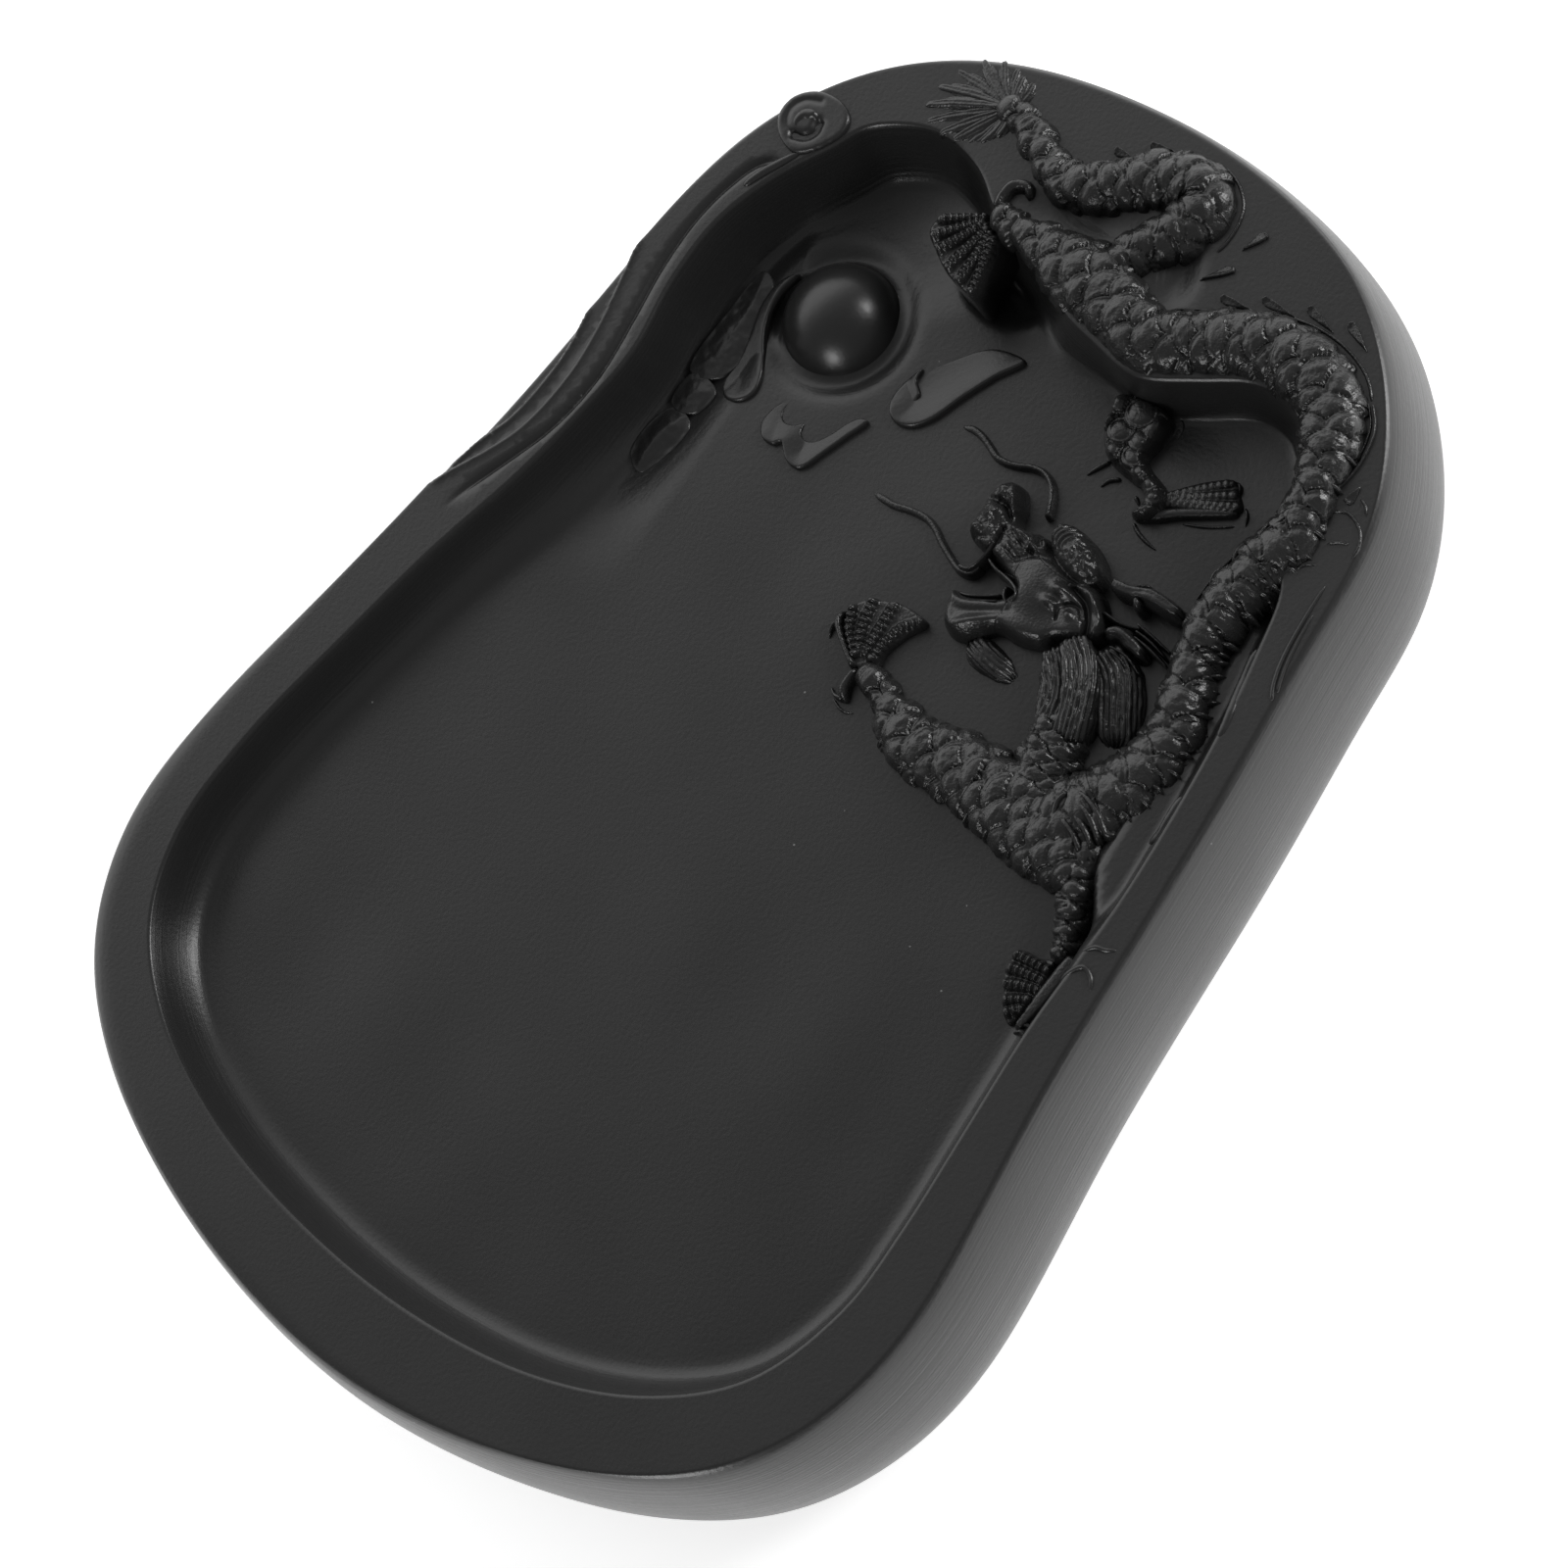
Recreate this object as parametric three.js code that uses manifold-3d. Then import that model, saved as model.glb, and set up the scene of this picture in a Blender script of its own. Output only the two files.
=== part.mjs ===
// A carved black inkstone: an oval slab with a raised rim, a grinding basin that deepens to an ink
// pool, and a dragon in relief chasing a pearl. Millimetres, +Z up, origin at the centre of the
// underside. +Y points to the pool end and +X to the side the dragon lies on.
import * as THREE from 'three';
import { mergeVertices } from 'three/addons/utils/BufferGeometryUtils.js';
import Module from 'manifold-3d';

const wasm = await Module();
wasm.setup();

// Driving dimensions
const THICKNESS = 25;        // underside to the rim's top face
const LENGTH = 130;          // top face, along Y
const WIDTH = 89.4;          // top face, along X
const WALL_BULGE = 2.1;      // how far the barrel-shaped side stands out past the top face
const FLOOR_Z = 19;          // grinding floor
const POOL_Z = 16;           // bottom of the ink pool
const WALL_SLOPE = 1.4;      // how far the basin's wall runs in between the rim and the floor
const POOL_SLOPE = 1;
const SHOULDER_Z = 22.5;     // step cut beside the left rim, which carries the two wave steps
const GAP = 0.3;             // clear space between neighbouring carvings
const OUTLINE_STEPS = 96;
const BASIN_STEPS = 112;

const BLACK = 0x232426;
const group = new THREE.Group();

// --- helpers -------------------------------------------------------------------------------------

function closedCurve(points, steps) {
  const curve = new THREE.CatmullRomCurve3(
    points.map(([x, y]) => new THREE.Vector3(x, y, 0)), true, 'centripetal');
  return curve.getSpacedPoints(steps).slice(0, steps).map((p) => new THREE.Vector2(p.x, p.y));
}

// Moves each point of a counter-clockwise loop outward along its normal.
function offsetLoop(loop, distance) {
  return loop.map((p, i) => {
    const before = loop[(i + loop.length - 1) % loop.length];
    const after = loop[(i + 1) % loop.length];
    const along = after.clone().sub(before).normalize();
    return new THREE.Vector2(p.x + along.y * distance, p.y - along.x * distance);
  });
}

function solidFrom(positions, index) {
  const geometry = new THREE.BufferGeometry();
  geometry.setAttribute('position', new THREE.Float32BufferAttribute(positions, 3));
  geometry.setIndex(index);
  return solidOf(geometry);
}

function solidOf(geometry) {
  const bare = geometry.clone();
  bare.deleteAttribute('normal');
  bare.deleteAttribute('uv');
  const merged = mergeVertices(bare, 1e-4);
  return new wasm.Manifold(new wasm.Mesh({
    numProp: 3,
    vertProperties: new Float32Array(merged.attributes.position.array),
    triVerts: new Uint32Array(merged.index.array),
  }));
}

// A closed solid through loops of equal point count, each at its own height, lowest first.
function loft(loops) {
  const n = loops[0].points.length;
  const positions = [];
  loops.forEach(({ points, z }) => points.forEach((p) => positions.push(p.x, p.y, z)));
  const index = [];
  for (let k = 0; k + 1 < loops.length; k += 1) {
    for (let i = 0; i < n; i += 1) {
      const a = k * n + i;
      const b = k * n + ((i + 1) % n);
      index.push(a, b, b + n, a, b + n, a + n);
    }
  }
  const cap = (k, flip) => THREE.ShapeUtils.triangulateShape(loops[k].points, []).forEach((t) => {
    const [a, b, c] = t.map((v) => v + k * n);
    index.push(a, flip ? c : b, flip ? b : c);
  });
  cap(0, true);
  cap(loops.length - 1, false);
  return solidFrom(positions, index);
}

// A straight-sided prism through exact corner points.
function prismPolyline(points, z0, z1) {
  const loop = points.map(([x, y]) => new THREE.Vector2(x, y));
  if (THREE.ShapeUtils.isClockWise(loop)) loop.reverse();
  return loft([{ points: loop, z: z0 }, { points: loop, z: z1 }]);
}

// A plate whose top edge is drawn in, so that its sides lean like carved walls.
function plate(points, z0, height, lean, clearance = 0, steps = 32) {
  const loop = closedCurve(points, steps);
  if (THREE.ShapeUtils.isClockWise(loop)) loop.reverse();
  return loft([
    { points: offsetLoop(loop, clearance), z: z0 },
    { points: offsetLoop(loop, clearance), z: z0 + 0.5 * height },
    { points: offsetLoop(loop, clearance - lean), z: z0 + height + clearance },
  ]);
}

// A half-round ridge laid along a curve. Each station is [x, y, half width, height].
function ridge(stations, z0, clearance = 0, steps = 9) {
  const half = 5;
  const curve = new THREE.CatmullRomCurve3(
    stations.map(([x, y]) => new THREE.Vector3(x, y, 0)), false, 'centripetal');
  const sizes = new THREE.CatmullRomCurve3(
    stations.map(([, , w, h]) => new THREE.Vector3(w, h, 0)), false, 'centripetal');
  const positions = [];
  const index = [];
  const ring = half + 1;
  const taper = [0, 0.035, 0.1];
  const spots = [...taper, ...Array.from({ length: steps - 1 }, (_, i) => 0.1 + 0.8 * (i + 1) / steps),
    0.9, 0.965, 1];
  spots.forEach((t) => {
    const p = curve.getPoint(t);
    const d = curve.getTangent(t);
    const size = sizes.getPoint(t);
    const end = Math.min(1, Math.sqrt(Math.max(0, 1 - (1 - Math.min(t, 1 - t) / 0.1) ** 2)) + 0.3);
    const round = Math.min(t, 1 - t) >= 0.1 ? 1 : end;
    const w = size.x * round + clearance;
    const h = size.y * round + clearance;
    for (let i = 0; i < ring; i += 1) {
      const a = Math.PI * i / half;
      positions.push(p.x + d.y * w * Math.cos(a), p.y - d.x * w * Math.cos(a), z0 + h * Math.sin(a));
    }
  });
  for (let k = 0; k + 1 < spots.length; k += 1) {
    for (let i = 0; i < ring; i += 1) {
      const a = k * ring + i;
      const b = k * ring + ((i + 1) % ring);
      index.push(a, a + ring, b + ring, a, b + ring, b);
    }
  }
  for (let i = 1; i + 1 < ring; i += 1) {
    const last = (spots.length - 1) * ring;
    index.push(0, i, i + 1, last, last + i + 1, last + i);
  }
  return solidFrom(positions, index);
}

function dome(x, y, z0, rx, ry, height, turn = 0, clearance = 0) {
  const shape = new THREE.SphereGeometry(1, 24, 12);
  shape.scale(rx + clearance, ry + clearance, height + clearance);
  shape.rotateZ(turn);
  shape.translate(x, y, z0);
  const box = new THREE.BoxGeometry(40, 40, 40);
  box.translate(x, y, z0 - 20);
  return solidOf(shape).subtract(solidOf(box));
}

function largest(solid) {
  const parts = solid.decompose();
  return parts.reduce((best, part) => (part.volume() > best.volume() ? part : best));
}

function addMesh(name, solid, roughness) {
  const mesh = solid.getMesh();
  const geometry = new THREE.BufferGeometry();
  geometry.setAttribute('position', new THREE.Float32BufferAttribute(mesh.vertProperties, 3));
  geometry.setIndex(Array.from(mesh.triVerts));
  geometry.computeVertexNormals();
  const material = new THREE.MeshStandardMaterial({ color: BLACK, roughness, metalness: 0 });
  const node = new THREE.Mesh(geometry, material);
  node.name = name;
  group.add(node);
}

// --- slab ----------------------------------------------------------------------------------------

const HALF_X = WIDTH / 2;
const HALF_Y = LENGTH / 2;

const OUTLINE = [
  [HALF_X - 0.1, -34], [43, -43], [38.3, -51.7], [30, -58.2], [18, -62.8], [4, -HALF_Y], [-9, -63.8],
  [-22, -60], [-33, -54.3], [-41, -46.5], [-HALF_X, -36], [-43.9, -24], [-41.3, -12.5], [-38, 3],
  [-35.6, 17], [-34, 28], [-32.6, 38], [-29.5, 48], [-23, 56.8], [-13, 62.5], [3, HALF_Y], [17, 63.6],
  [28, 59.3], [36, 51], [40.2, 42], [41, 30], [42, 15], [42.4, 2], [43, -13], [44.2, -25],
];

// The wall is barrel shaped and its lower edge is rounded: [height, distance outside the top face].
const WALL_PROFILE = [
  [0, -2.6], [0.7, -1], [2, 0.3], [5, WALL_BULGE * 0.75], [11, WALL_BULGE], [18, WALL_BULGE * 0.72],
  [23, WALL_BULGE * 0.28], [THICKNESS, 0],
];

const BASIN = [
  [39, -28], [38.5, -36], [35, -45], [28, -51.2], [18, -55.3], [5, -57], [-8, -56.2], [-20, -53.5],
  [-30, -48.7], [-36.5, -42.3], [-39.2, -34], [-38.6, -24], [-36, -12], [-33.4, -1], [-30.3, 9],
  [-28.5, 17], [-27.5, 24], [-28.2, 31], [-27.7, 38], [-25, 44.5], [-21.6, 49.5], [-14.5, 54],
  [-9, 53], [-5.8, 50.6], [-2, 49.2], [1.5, 48], [5, 45.6], [10, 44.2], [14.5, 43.4], [19.5, 45.6],
  [24.5, 48], [28.5, 47.6], [31, 44.5], [32.2, 40.5], [33.4, 37], [36, 34], [37.4, 28], [38.3, 22],
  [39, 13], [39.2, 3], [38.6, -8], [38.8, -18],
];

const POOL = [
  [-26.2, 14], [-25.2, 24], [-26, 33], [-25.2, 39], [-22, 44.5], [-17, 49], [-12, 50.5], [-7.6, 48.6],
  [-3, 46.8], [1, 43.5], [0, 39.5], [-5, 38], [-8.2, 33.5], [-13, 29.5], [-19, 29.6], [-21.6, 27],
  [-21.8, 20], [-23.5, 14.5],
];

// Outer edge of the rim beside the wave steps, and the edges of the two steps.
const WAVE_INNER = [
  [-37.4, 5.2], [-34.7, 9.4], [-33, 13], [-32, 19], [-32.2, 24], [-33, 29], [-33.8, 33.4],
];
const WAVE_MIDDLE = [[-36.9, 8.4], [-35.4, 12], [-34.5, 16], [-34.2, 20.5], [-34.6, 26.5]];
const WAVE_OUTER = [[-37.6, 6], [-37, 13], [-36.6, 20], [-35.6, 28]];

function slabBody() {
  const outline = closedCurve(OUTLINE, OUTLINE_STEPS);
  if (THREE.ShapeUtils.isClockWise(outline)) outline.reverse();
  return loft(WALL_PROFILE.map(([z, out]) => ({ points: offsetLoop(outline, out), z })));
}

function basinCutter() {
  const edge = closedCurve(BASIN, BASIN_STEPS);
  if (THREE.ShapeUtils.isClockWise(edge)) edge.reverse();
  return loft([
    { points: offsetLoop(edge, -WALL_SLOPE), z: FLOOR_Z },
    { points: offsetLoop(edge, -WALL_SLOPE * 0.35), z: FLOOR_Z + 2 },
    { points: edge, z: THICKNESS },
    { points: edge, z: THICKNESS + 2 },
  ]);
}

function poolCutter() {
  const edge = closedCurve(POOL, 72);
  if (THREE.ShapeUtils.isClockWise(edge)) edge.reverse();
  return loft([
    { points: offsetLoop(edge, -POOL_SLOPE), z: POOL_Z },
    { points: edge, z: FLOOR_Z },
    { points: edge, z: FLOOR_Z + 1 },
  ]);
}

function waveShoulder() {
  const outside = [[-42, 34.5], [-42, 5]];
  return prismPolyline([...WAVE_INNER, ...outside], SHOULDER_Z, THICKNESS + 3);
}

const body = slabBody();
const slab = body.subtract(basinCutter()).subtract(poolCutter()).subtract(waveShoulder());

function addWaveSteps() {
  const reversed = (points) => [...points].reverse();
  const shift = (points, dx) => points.map(([x, y]) => [x + dx, y]);
  const upper = prismPolyline([...shift(WAVE_INNER, -GAP), ...reversed(WAVE_MIDDLE)], SHOULDER_Z,
    THICKNESS - 0.8);
  const lower = prismPolyline([...shift(WAVE_MIDDLE, -GAP), ...reversed(WAVE_OUTER)], SHOULDER_Z,
    THICKNESS - 1.6);
  addMesh('rim_wave_upper', largest(upper.intersect(body)), 0.5);
  addMesh('rim_wave_lower', largest(lower.intersect(body)), 0.5);
}

// --- carvings ------------------------------------------------------------------------------------
// Every carving is given as a function of its clearance, so that a later neighbour can be cut back
// from a slightly swollen copy of it.

const carved = [];

function carve(name, make, roughness = 0.42) {
  carved.push({ name, make, roughness });
}

function finishCarvings() {
  carved.forEach(({ name, make, roughness }, i) => {
    let solid = make(0).subtract(slab);
    const box = solid.boundingBox();
    carved.slice(0, i).forEach((other) => {
      const swollen = other.make(GAP);
      const near = swollen.boundingBox();
      const apart = [0, 1].some((k) => near.min[k] > box.max[k] || near.max[k] < box.min[k]);
      if (!apart) solid = solid.subtract(swollen);
    });
    addMesh(name, largest(solid), roughness);
  });
}

function carvePearl() {
  carve('pearl', (c) => dome(-15.6, 36.5, POOL_Z, 5.7 + c, 5.7 + c, 6.2 + c), 0.25);
}

function carveClouds() {
  carve('cloud_pearl', (c) => plate([
    [-21.4, 38.2], [-20.6, 34.4], [-19.3, 31.8], [-17.6, 29.6], [-17, 27.4], [-18.2, 25.5],
    [-20.3, 25.2], [-21.7, 26.6], [-22, 29.5], [-22.6, 33], [-22.4, 36.4],
  ], POOL_Z, 4.2, 0.2, c), 0.45);
  carve('cloud_hook', (c) => plate([
    [2.3, 41.2], [0.9, 38.8], [-0.6, 35.8], [-2, 32.6], [-3.6, 31], [-5.2, 31], [-6.4, 32.4],
    [-6.4, 34.6], [-5.6, 36.2], [-4.6, 35], [-3.7, 34.8], [-2.2, 37.2], [-1, 39.6], [0.6, 41],
  ], FLOOR_Z, 1, 0.2, c), 0.45);
  carve('cloud_scroll', (c) => plate([
    [-7.2, 29.6], [-8, 27.4], [-9, 24.9], [-10, 23.2], [-11.6, 22.8], [-12.8, 24.1], [-14.4, 23.7],
    [-15.8, 24.8], [-15.6, 26.6], [-14.8, 27.6], [-14, 25.9], [-12.7, 26.4], [-11.8, 25.4],
    [-10.4, 26.4], [-9.2, 28.6], [-8.3, 29.5],
  ], FLOOR_Z, 0.9, 0.15, c, 44), 0.45);
}

function carvePoolRocks() {
  carve('pool_rock_upper', (c) => dome(-23.6, 29.6, POOL_Z, 1.9, 4.2, 4.4, 0, c), 0.5);
  carve('pool_rock_middle', (c) => dome(-23.2, 23.7, POOL_Z, 1.9, 2, 4, 0, c), 0.5);
  carve('pool_rock_lower', (c) => dome(-23.8, 18.4, POOL_Z, 1.6, 3.1, 3.8, 0, c), 0.5);
}

function carveRim() {
  carve('scroll_crest', (c) => ridge([
    [-24.7, 49.6, 0.5, 0.5], [-25.3, 50.6, 0.5, 0.55], [-26.6, 50.4, 0.5, 0.6], [-26.9, 49, 0.5, 0.6],
    [-25.8, 47.9, 0.5, 0.6],
  ], THICKNESS, c), 0.4);
  carve('scroll_band', (c) => ridge([
    [-23.4, 49.2, 0.55, 0.5], [-22.7, 51.2, 0.55, 0.5], [-24.6, 52.5, 0.5, 0.45],
    [-27.1, 52.1, 0.5, 0.45], [-28.4, 50.2, 0.5, 0.45], [-27.9, 47.9, 0.5, 0.4],
  ], THICKNESS, c), 0.4);
  carve('rim_ribbon', (c) => ridge([
    [-24.1, 46.8, 0.6, 0.4], [-27.2, 43.2, 0.7, 0.4], [-28.8, 39, 0.65, 0.4], [-29.3, 33, 0.6, 0.4],
    [-28.8, 27, 0.6, 0.4], [-28.6, 21, 0.6, 0.4], [-29.8, 14.5, 0.6, 0.4], [-31.6, 8.5, 0.6, 0.35],
    [-33.4, 3.4, 0.5, 0.3],
  ], THICKNESS, c, 16), 0.4);
  carve('rim_curl_upper', (c) => ridge([
    [39.6, -0.4, 0.25, 0.3], [40.5, 0.5, 0.25, 0.3], [41.6, 0.9, 0.25, 0.3],
  ], THICKNESS, c, 6), 0.4);
  carve('rim_curl_lower', (c) => ridge([
    [39.4, -3.3, 0.25, 0.3], [40, -1.8, 0.25, 0.3], [41, -1.6, 0.25, 0.3], [41.8, -2.9, 0.25, 0.3],
  ], THICKNESS, c, 6), 0.4);
  carve('rim_line', (c) => ridge([
    [39.5, 35.5, 0.22, 0.25], [39.7, 31, 0.25, 0.3], [40.1, 28, 0.25, 0.3], [40.9, 25.3, 0.22, 0.25],
  ], THICKNESS, c, 8), 0.4);
}

function carveTail() {
  carve('dragon_tail', (c) => ridge([
    [-9.3, 59.2, 1, 1.2], [-6.4, 58.3, 1.3, 1.5], [-3.4, 56.9, 1.4, 1.6], [0, 56, 1.7, 1.6],
    [3.2, 57.5, 2, 1.8], [6.6, 59.7, 2.3, 2], [9.2, 60.7, 2.3, 2.1],
  ], THICKNESS, c, 16));
  carve('dragon_tail_root', (c) => ridge([
    [11.8, 60, 1.9, 1.9], [11.2, 57.6, 2.3, 2.1], [9.9, 55.4, 2, 2], [8.4, 53.2, 1.9, 1.7],
  ], THICKNESS, c, 8));
  carve('tail_fin', (c) => plate([
    [-10.4, 60.7], [-9.7, 62.2], [-8.6, 63.3], [-11.2, 62.9], [-13.5, 62.5], [-13.3, 61.6],
    [-15.3, 61.1], [-15, 60.3], [-17, 60.2], [-16, 58.9], [-17.9, 57.6], [-15.7, 57.2],
    [-16.1, 55.4], [-13.8, 56.4], [-12.9, 55.1], [-11.5, 56.4], [-10.2, 54.5], [-9.6, 56],
    [-8.3, 56.7], [-9.7, 57.8], [-10.9, 58.2], [-11.2, 59.4],
  ], THICKNESS, 0.5, 0.1, c, 66));
}

function carveTrunk() {
  carve('dragon_hip', (c) => ridge([
    [-2.6, 50.2, 1.1, 1], [1.5, 49.8, 2, 1.6], [4.4, 49.3, 2.9, 2], [7.3, 49, 3.1, 2.1],
    [10.4, 48, 2.7, 2.1], [13.8, 47, 2.5, 2.1], [17, 48.5, 2.4, 2.1],
  ], THICKNESS, c));
  carve('dragon_back', (c) => ridge([
    [17.9, 49, 2.4, 2.1], [22, 50.9, 2.5, 2.1], [26.2, 51.5, 2.6, 2.1], [30.3, 50.2, 2.6, 2.1],
    [32.9, 46.8, 2.3, 2], [33.9, 43.8, 1.9, 1.8], [34.4, 40.6, 1.8, 1.6], [34.8, 37.2, 1.9, 1.2],
  ], THICKNESS, c, 13));
  carve('dragon_neck', (c) => ridge([
    [33.2, 34.6, 2.5, 4.8], [32.3, 30.4, 2.4, 5], [32.5, 26.4, 2.4, 5], [33.6, 22.8, 2.5, 5],
    [34.4, 19.4, 2.9, 4.9], [34.1, 15.8, 3.1, 4.7], [32.8, 12.6, 3.3, 4.4],
  ], FLOOR_Z, c, 12));
  carve('dragon_chest', (c) => ridge([
    [34, 8.2, 3, 3.6], [30.5, 7.6, 3.9, 3.8], [26.5, 7.6, 3.9, 3.6], [23, 7.8, 3.5, 3.3],
  ], FLOOR_Z, c));
}

function carveSpines() {
  const spines = [
    [2.3, 60.4, 10, 2.2], [5, 62.4, 20, 2.4], [18.9, 53.4, 10, 3.2], [22.5, 54.8, 2, 3.8],
    [26.2, 55.6, -12, 3.4], [29.9, 55.8, -24, 3.2], [37.2, 43.8, 90, 1.9], [17.2, 58.8, 250, 2.6],
    [15.9, 54.8, 232, 3.2],
  ];
  spines.forEach(([x, y, angle, length], i) => {
    const turn = THREE.MathUtils.degToRad(angle);
    carve(`dorsal_spine_${i + 1}`, (c) => ridge([
      [x - 0.5 * length * Math.cos(turn), y - 0.5 * length * Math.sin(turn), 0.55, 0.35],
      [x, y, 0.45, 0.4],
      [x + 0.5 * length * Math.cos(turn), y + 0.5 * length * Math.sin(turn), 0.15, 0.2],
    ], THICKNESS, c, 6));
  });
}

function carveLegs() {
  carve('foreleg_left', (c) => ridge([
    [19.4, 7.7, 3, 3], [16, 7.5, 2.7, 2.8], [12.4, 7.8, 2, 2.3], [9.6, 9.4, 1.1, 1.7],
    [7.6, 10.2, 0.8, 1.3],
  ], FLOOR_Z, c));
  carve('forepaw_left', (c) => plate([
    [6.9, 11.4], [5.2, 10.5], [3.2, 12.2], [1.1, 14.2], [3, 16.3], [5.5, 17.4], [8.5, 17], [7.6, 14],
  ], FLOOR_Z, 1.3, 0.3, c, 32));
  carve('foreclaw_left', (c) => ridge([
    [5.7, 9.4, 0.55, 1.2], [6.3, 8, 0.5, 1.1], [5.8, 7, 0.4, 0.9], [4.3, 7.3, 0.2, 0.6],
  ], FLOOR_Z, c, 8));
  carve('foreleg_right', (c) => ridge([
    [34.1, 4, 1.7, 2.6], [35.2, 1.9, 1.2, 2.2], [36, 0.2, 0.9, 1.8],
  ], FLOOR_Z, c, 8));
  carve('forepaw_right', (c) => plate([
    [35.9, -1.5], [33.8, -2.6], [32.2, -3.2], [32.3, -6], [33.9, -8], [35.4, -8.9], [36.1, -5],
  ], FLOOR_Z, 1.3, 0.3, c, 32));
  carve('hindleg_lower', (c) => plate([
    [12.2, 41.9], [15.8, 43.2], [17.2, 42.6], [17.6, 39.8], [16.6, 37.4], [14, 36.8], [12.6, 39.2],
  ], FLOOR_Z, 2, 0.5, c, 32));
  carve('hindpaw_lower', (c) => plate([
    [18.4, 37.6], [20.8, 37.2], [22.6, 36.4], [27.2, 38.8], [26.4, 40.6], [24.4, 41.9], [21.6, 39.6],
  ], FLOOR_Z, 1.3, 0.3, c, 32));
  carve('hindclaw_lower', (c) => ridge([
    [23, 35.5, 0.5, 1], [21, 34.6, 0.5, 1], [19.5, 33.6, 0.35, 0.9], [21.4, 32.3, 0.2, 0.6],
  ], FLOOR_Z, c, 8));
  carve('hindpaw_upper', (c) => plate([
    [-6, 49.6], [-9.6, 48.6], [-10.6, 46.9], [-9, 45.6], [-7, 44.5], [-5, 43.9], [-3.4, 43.6],
    [-3.7, 46.2], [-4.4, 48.8],
  ], POOL_Z, 7, 0.4, c, 36));
  carve('hindclaw_upper', (c) => ridge([
    [-4.9, 51.6, 0.6, 0.8], [-4.8, 53, 0.65, 0.8], [-3.7, 53.6, 0.5, 0.7], [-3, 52.7, 0.25, 0.5],
  ], THICKNESS, c, 8));
}

function carveHead() {
  carve('head_brow', (c) => dome(18.2, 28.2, FLOOR_Z, 3.6, 1.9, 5.4, -0.36, c), 0.35);
  carve('head_skull', (c) => ridge([
    [14, 24.2, 3, 3.6], [17, 24.2, 3.9, 4.2], [20, 24.2, 3.4, 4], [22.4, 24.4, 2.2, 3.6],
  ], FLOOR_Z, c));
  carve('head_snout', (c) => ridge([
    [9.2, 30, 1.5, 3.2], [9.5, 28.2, 1.7, 3.8], [9.3, 26.2, 1.6, 3.2],
  ], FLOOR_Z, c, 8));
  carve('head_lower_jaw', (c) => plate([
    [10.4, 20.2], [12.6, 20.6], [15.2, 20.2], [18.4, 20], [19.6, 18.4], [18.6, 16.8], [14.8, 15.7],
    [12.3, 16.4], [10.8, 18],
  ], FLOOR_Z, 2.4, 0.6, c, 36));
  carve('horn_upper', (c) => ridge([
    [22, 28.2, 0.8, 3], [24.2, 28.1, 0.8, 3.2], [26.4, 28.9, 0.8, 3.2], [29.4, 28.4, 0.6, 3],
  ], FLOOR_Z, c, 10));
  carve('horn_lower', (c) => ridge([
    [24.4, 25, 0.8, 3], [26.4, 24.9, 0.8, 3], [29.4, 24.4, 0.6, 2.8],
  ], FLOOR_Z, c, 10));
  carve('mane_front', (c) => ridge([
    [20.9, 20.6, 1.3, 3], [22.8, 18.4, 1.3, 3], [23.9, 15.8, 1.2, 2.8], [24.1, 13, 0.9, 2.4],
  ], FLOOR_Z, c, 8));
  carve('mane_middle', (c) => ridge([
    [23.4, 21.4, 1.1, 3], [25.4, 18.8, 1.1, 3], [26.7, 15.6, 1, 2.8], [27.3, 13.2, 0.8, 2.4],
  ], FLOOR_Z, c, 12));
  carve('mane_rear', (c) => ridge([
    [26, 22, 0.8, 2.6], [28.2, 19.8, 0.8, 2.6], [29.9, 16.8, 0.7, 2.4],
  ], FLOOR_Z, c, 10));
  carve('whisker_upper', (c) => ridge([
    [0.9, 33.5, 0.3, 0.5], [3, 33.4, 0.4, 0.7], [5.6, 32.6, 0.4, 0.8], [8.2, 33.1, 0.4, 0.9],
    [11, 33.4, 0.4, 0.9], [12.8, 31.6, 0.4, 1], [13.4, 30.4, 0.4, 1],
  ], FLOOR_Z, c, 14));
  carve('whisker_lower', (c) => ridge([
    [-2.2, 24.4, 0.3, 0.5], [1, 24.7, 0.4, 0.7], [4, 24.4, 0.4, 0.8], [6.6, 22.9, 0.4, 0.9],
    [8.6, 22.6, 0.4, 0.9], [9.6, 23.6, 0.4, 1],
  ], FLOOR_Z, c, 12));
}

// Moves the whole object so that its box is centred on the origin in X and Y.
function centreObject() {
  const box = new THREE.Box3().setFromObject(group);
  const middle = box.getCenter(new THREE.Vector3());
  group.children.forEach((mesh) => mesh.geometry.translate(-middle.x, -middle.y, 0));
}

addMesh('stone_slab', slab, 0.55);
addWaveSteps();
carvePearl();
carveClouds();
carvePoolRocks();
carveRim();
carveTail();
carveTrunk();
carveSpines();
carveLegs();
carveHead();
finishCarvings();
centreObject();

export default group;
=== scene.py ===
"""A black carved inkstone with a dragon in relief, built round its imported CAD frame."""
import math
import bmesh
import bpy
import numpy as np
from mathutils import Matrix, Vector
from mathutils.geometry import delaunay_2d_cdt


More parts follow.
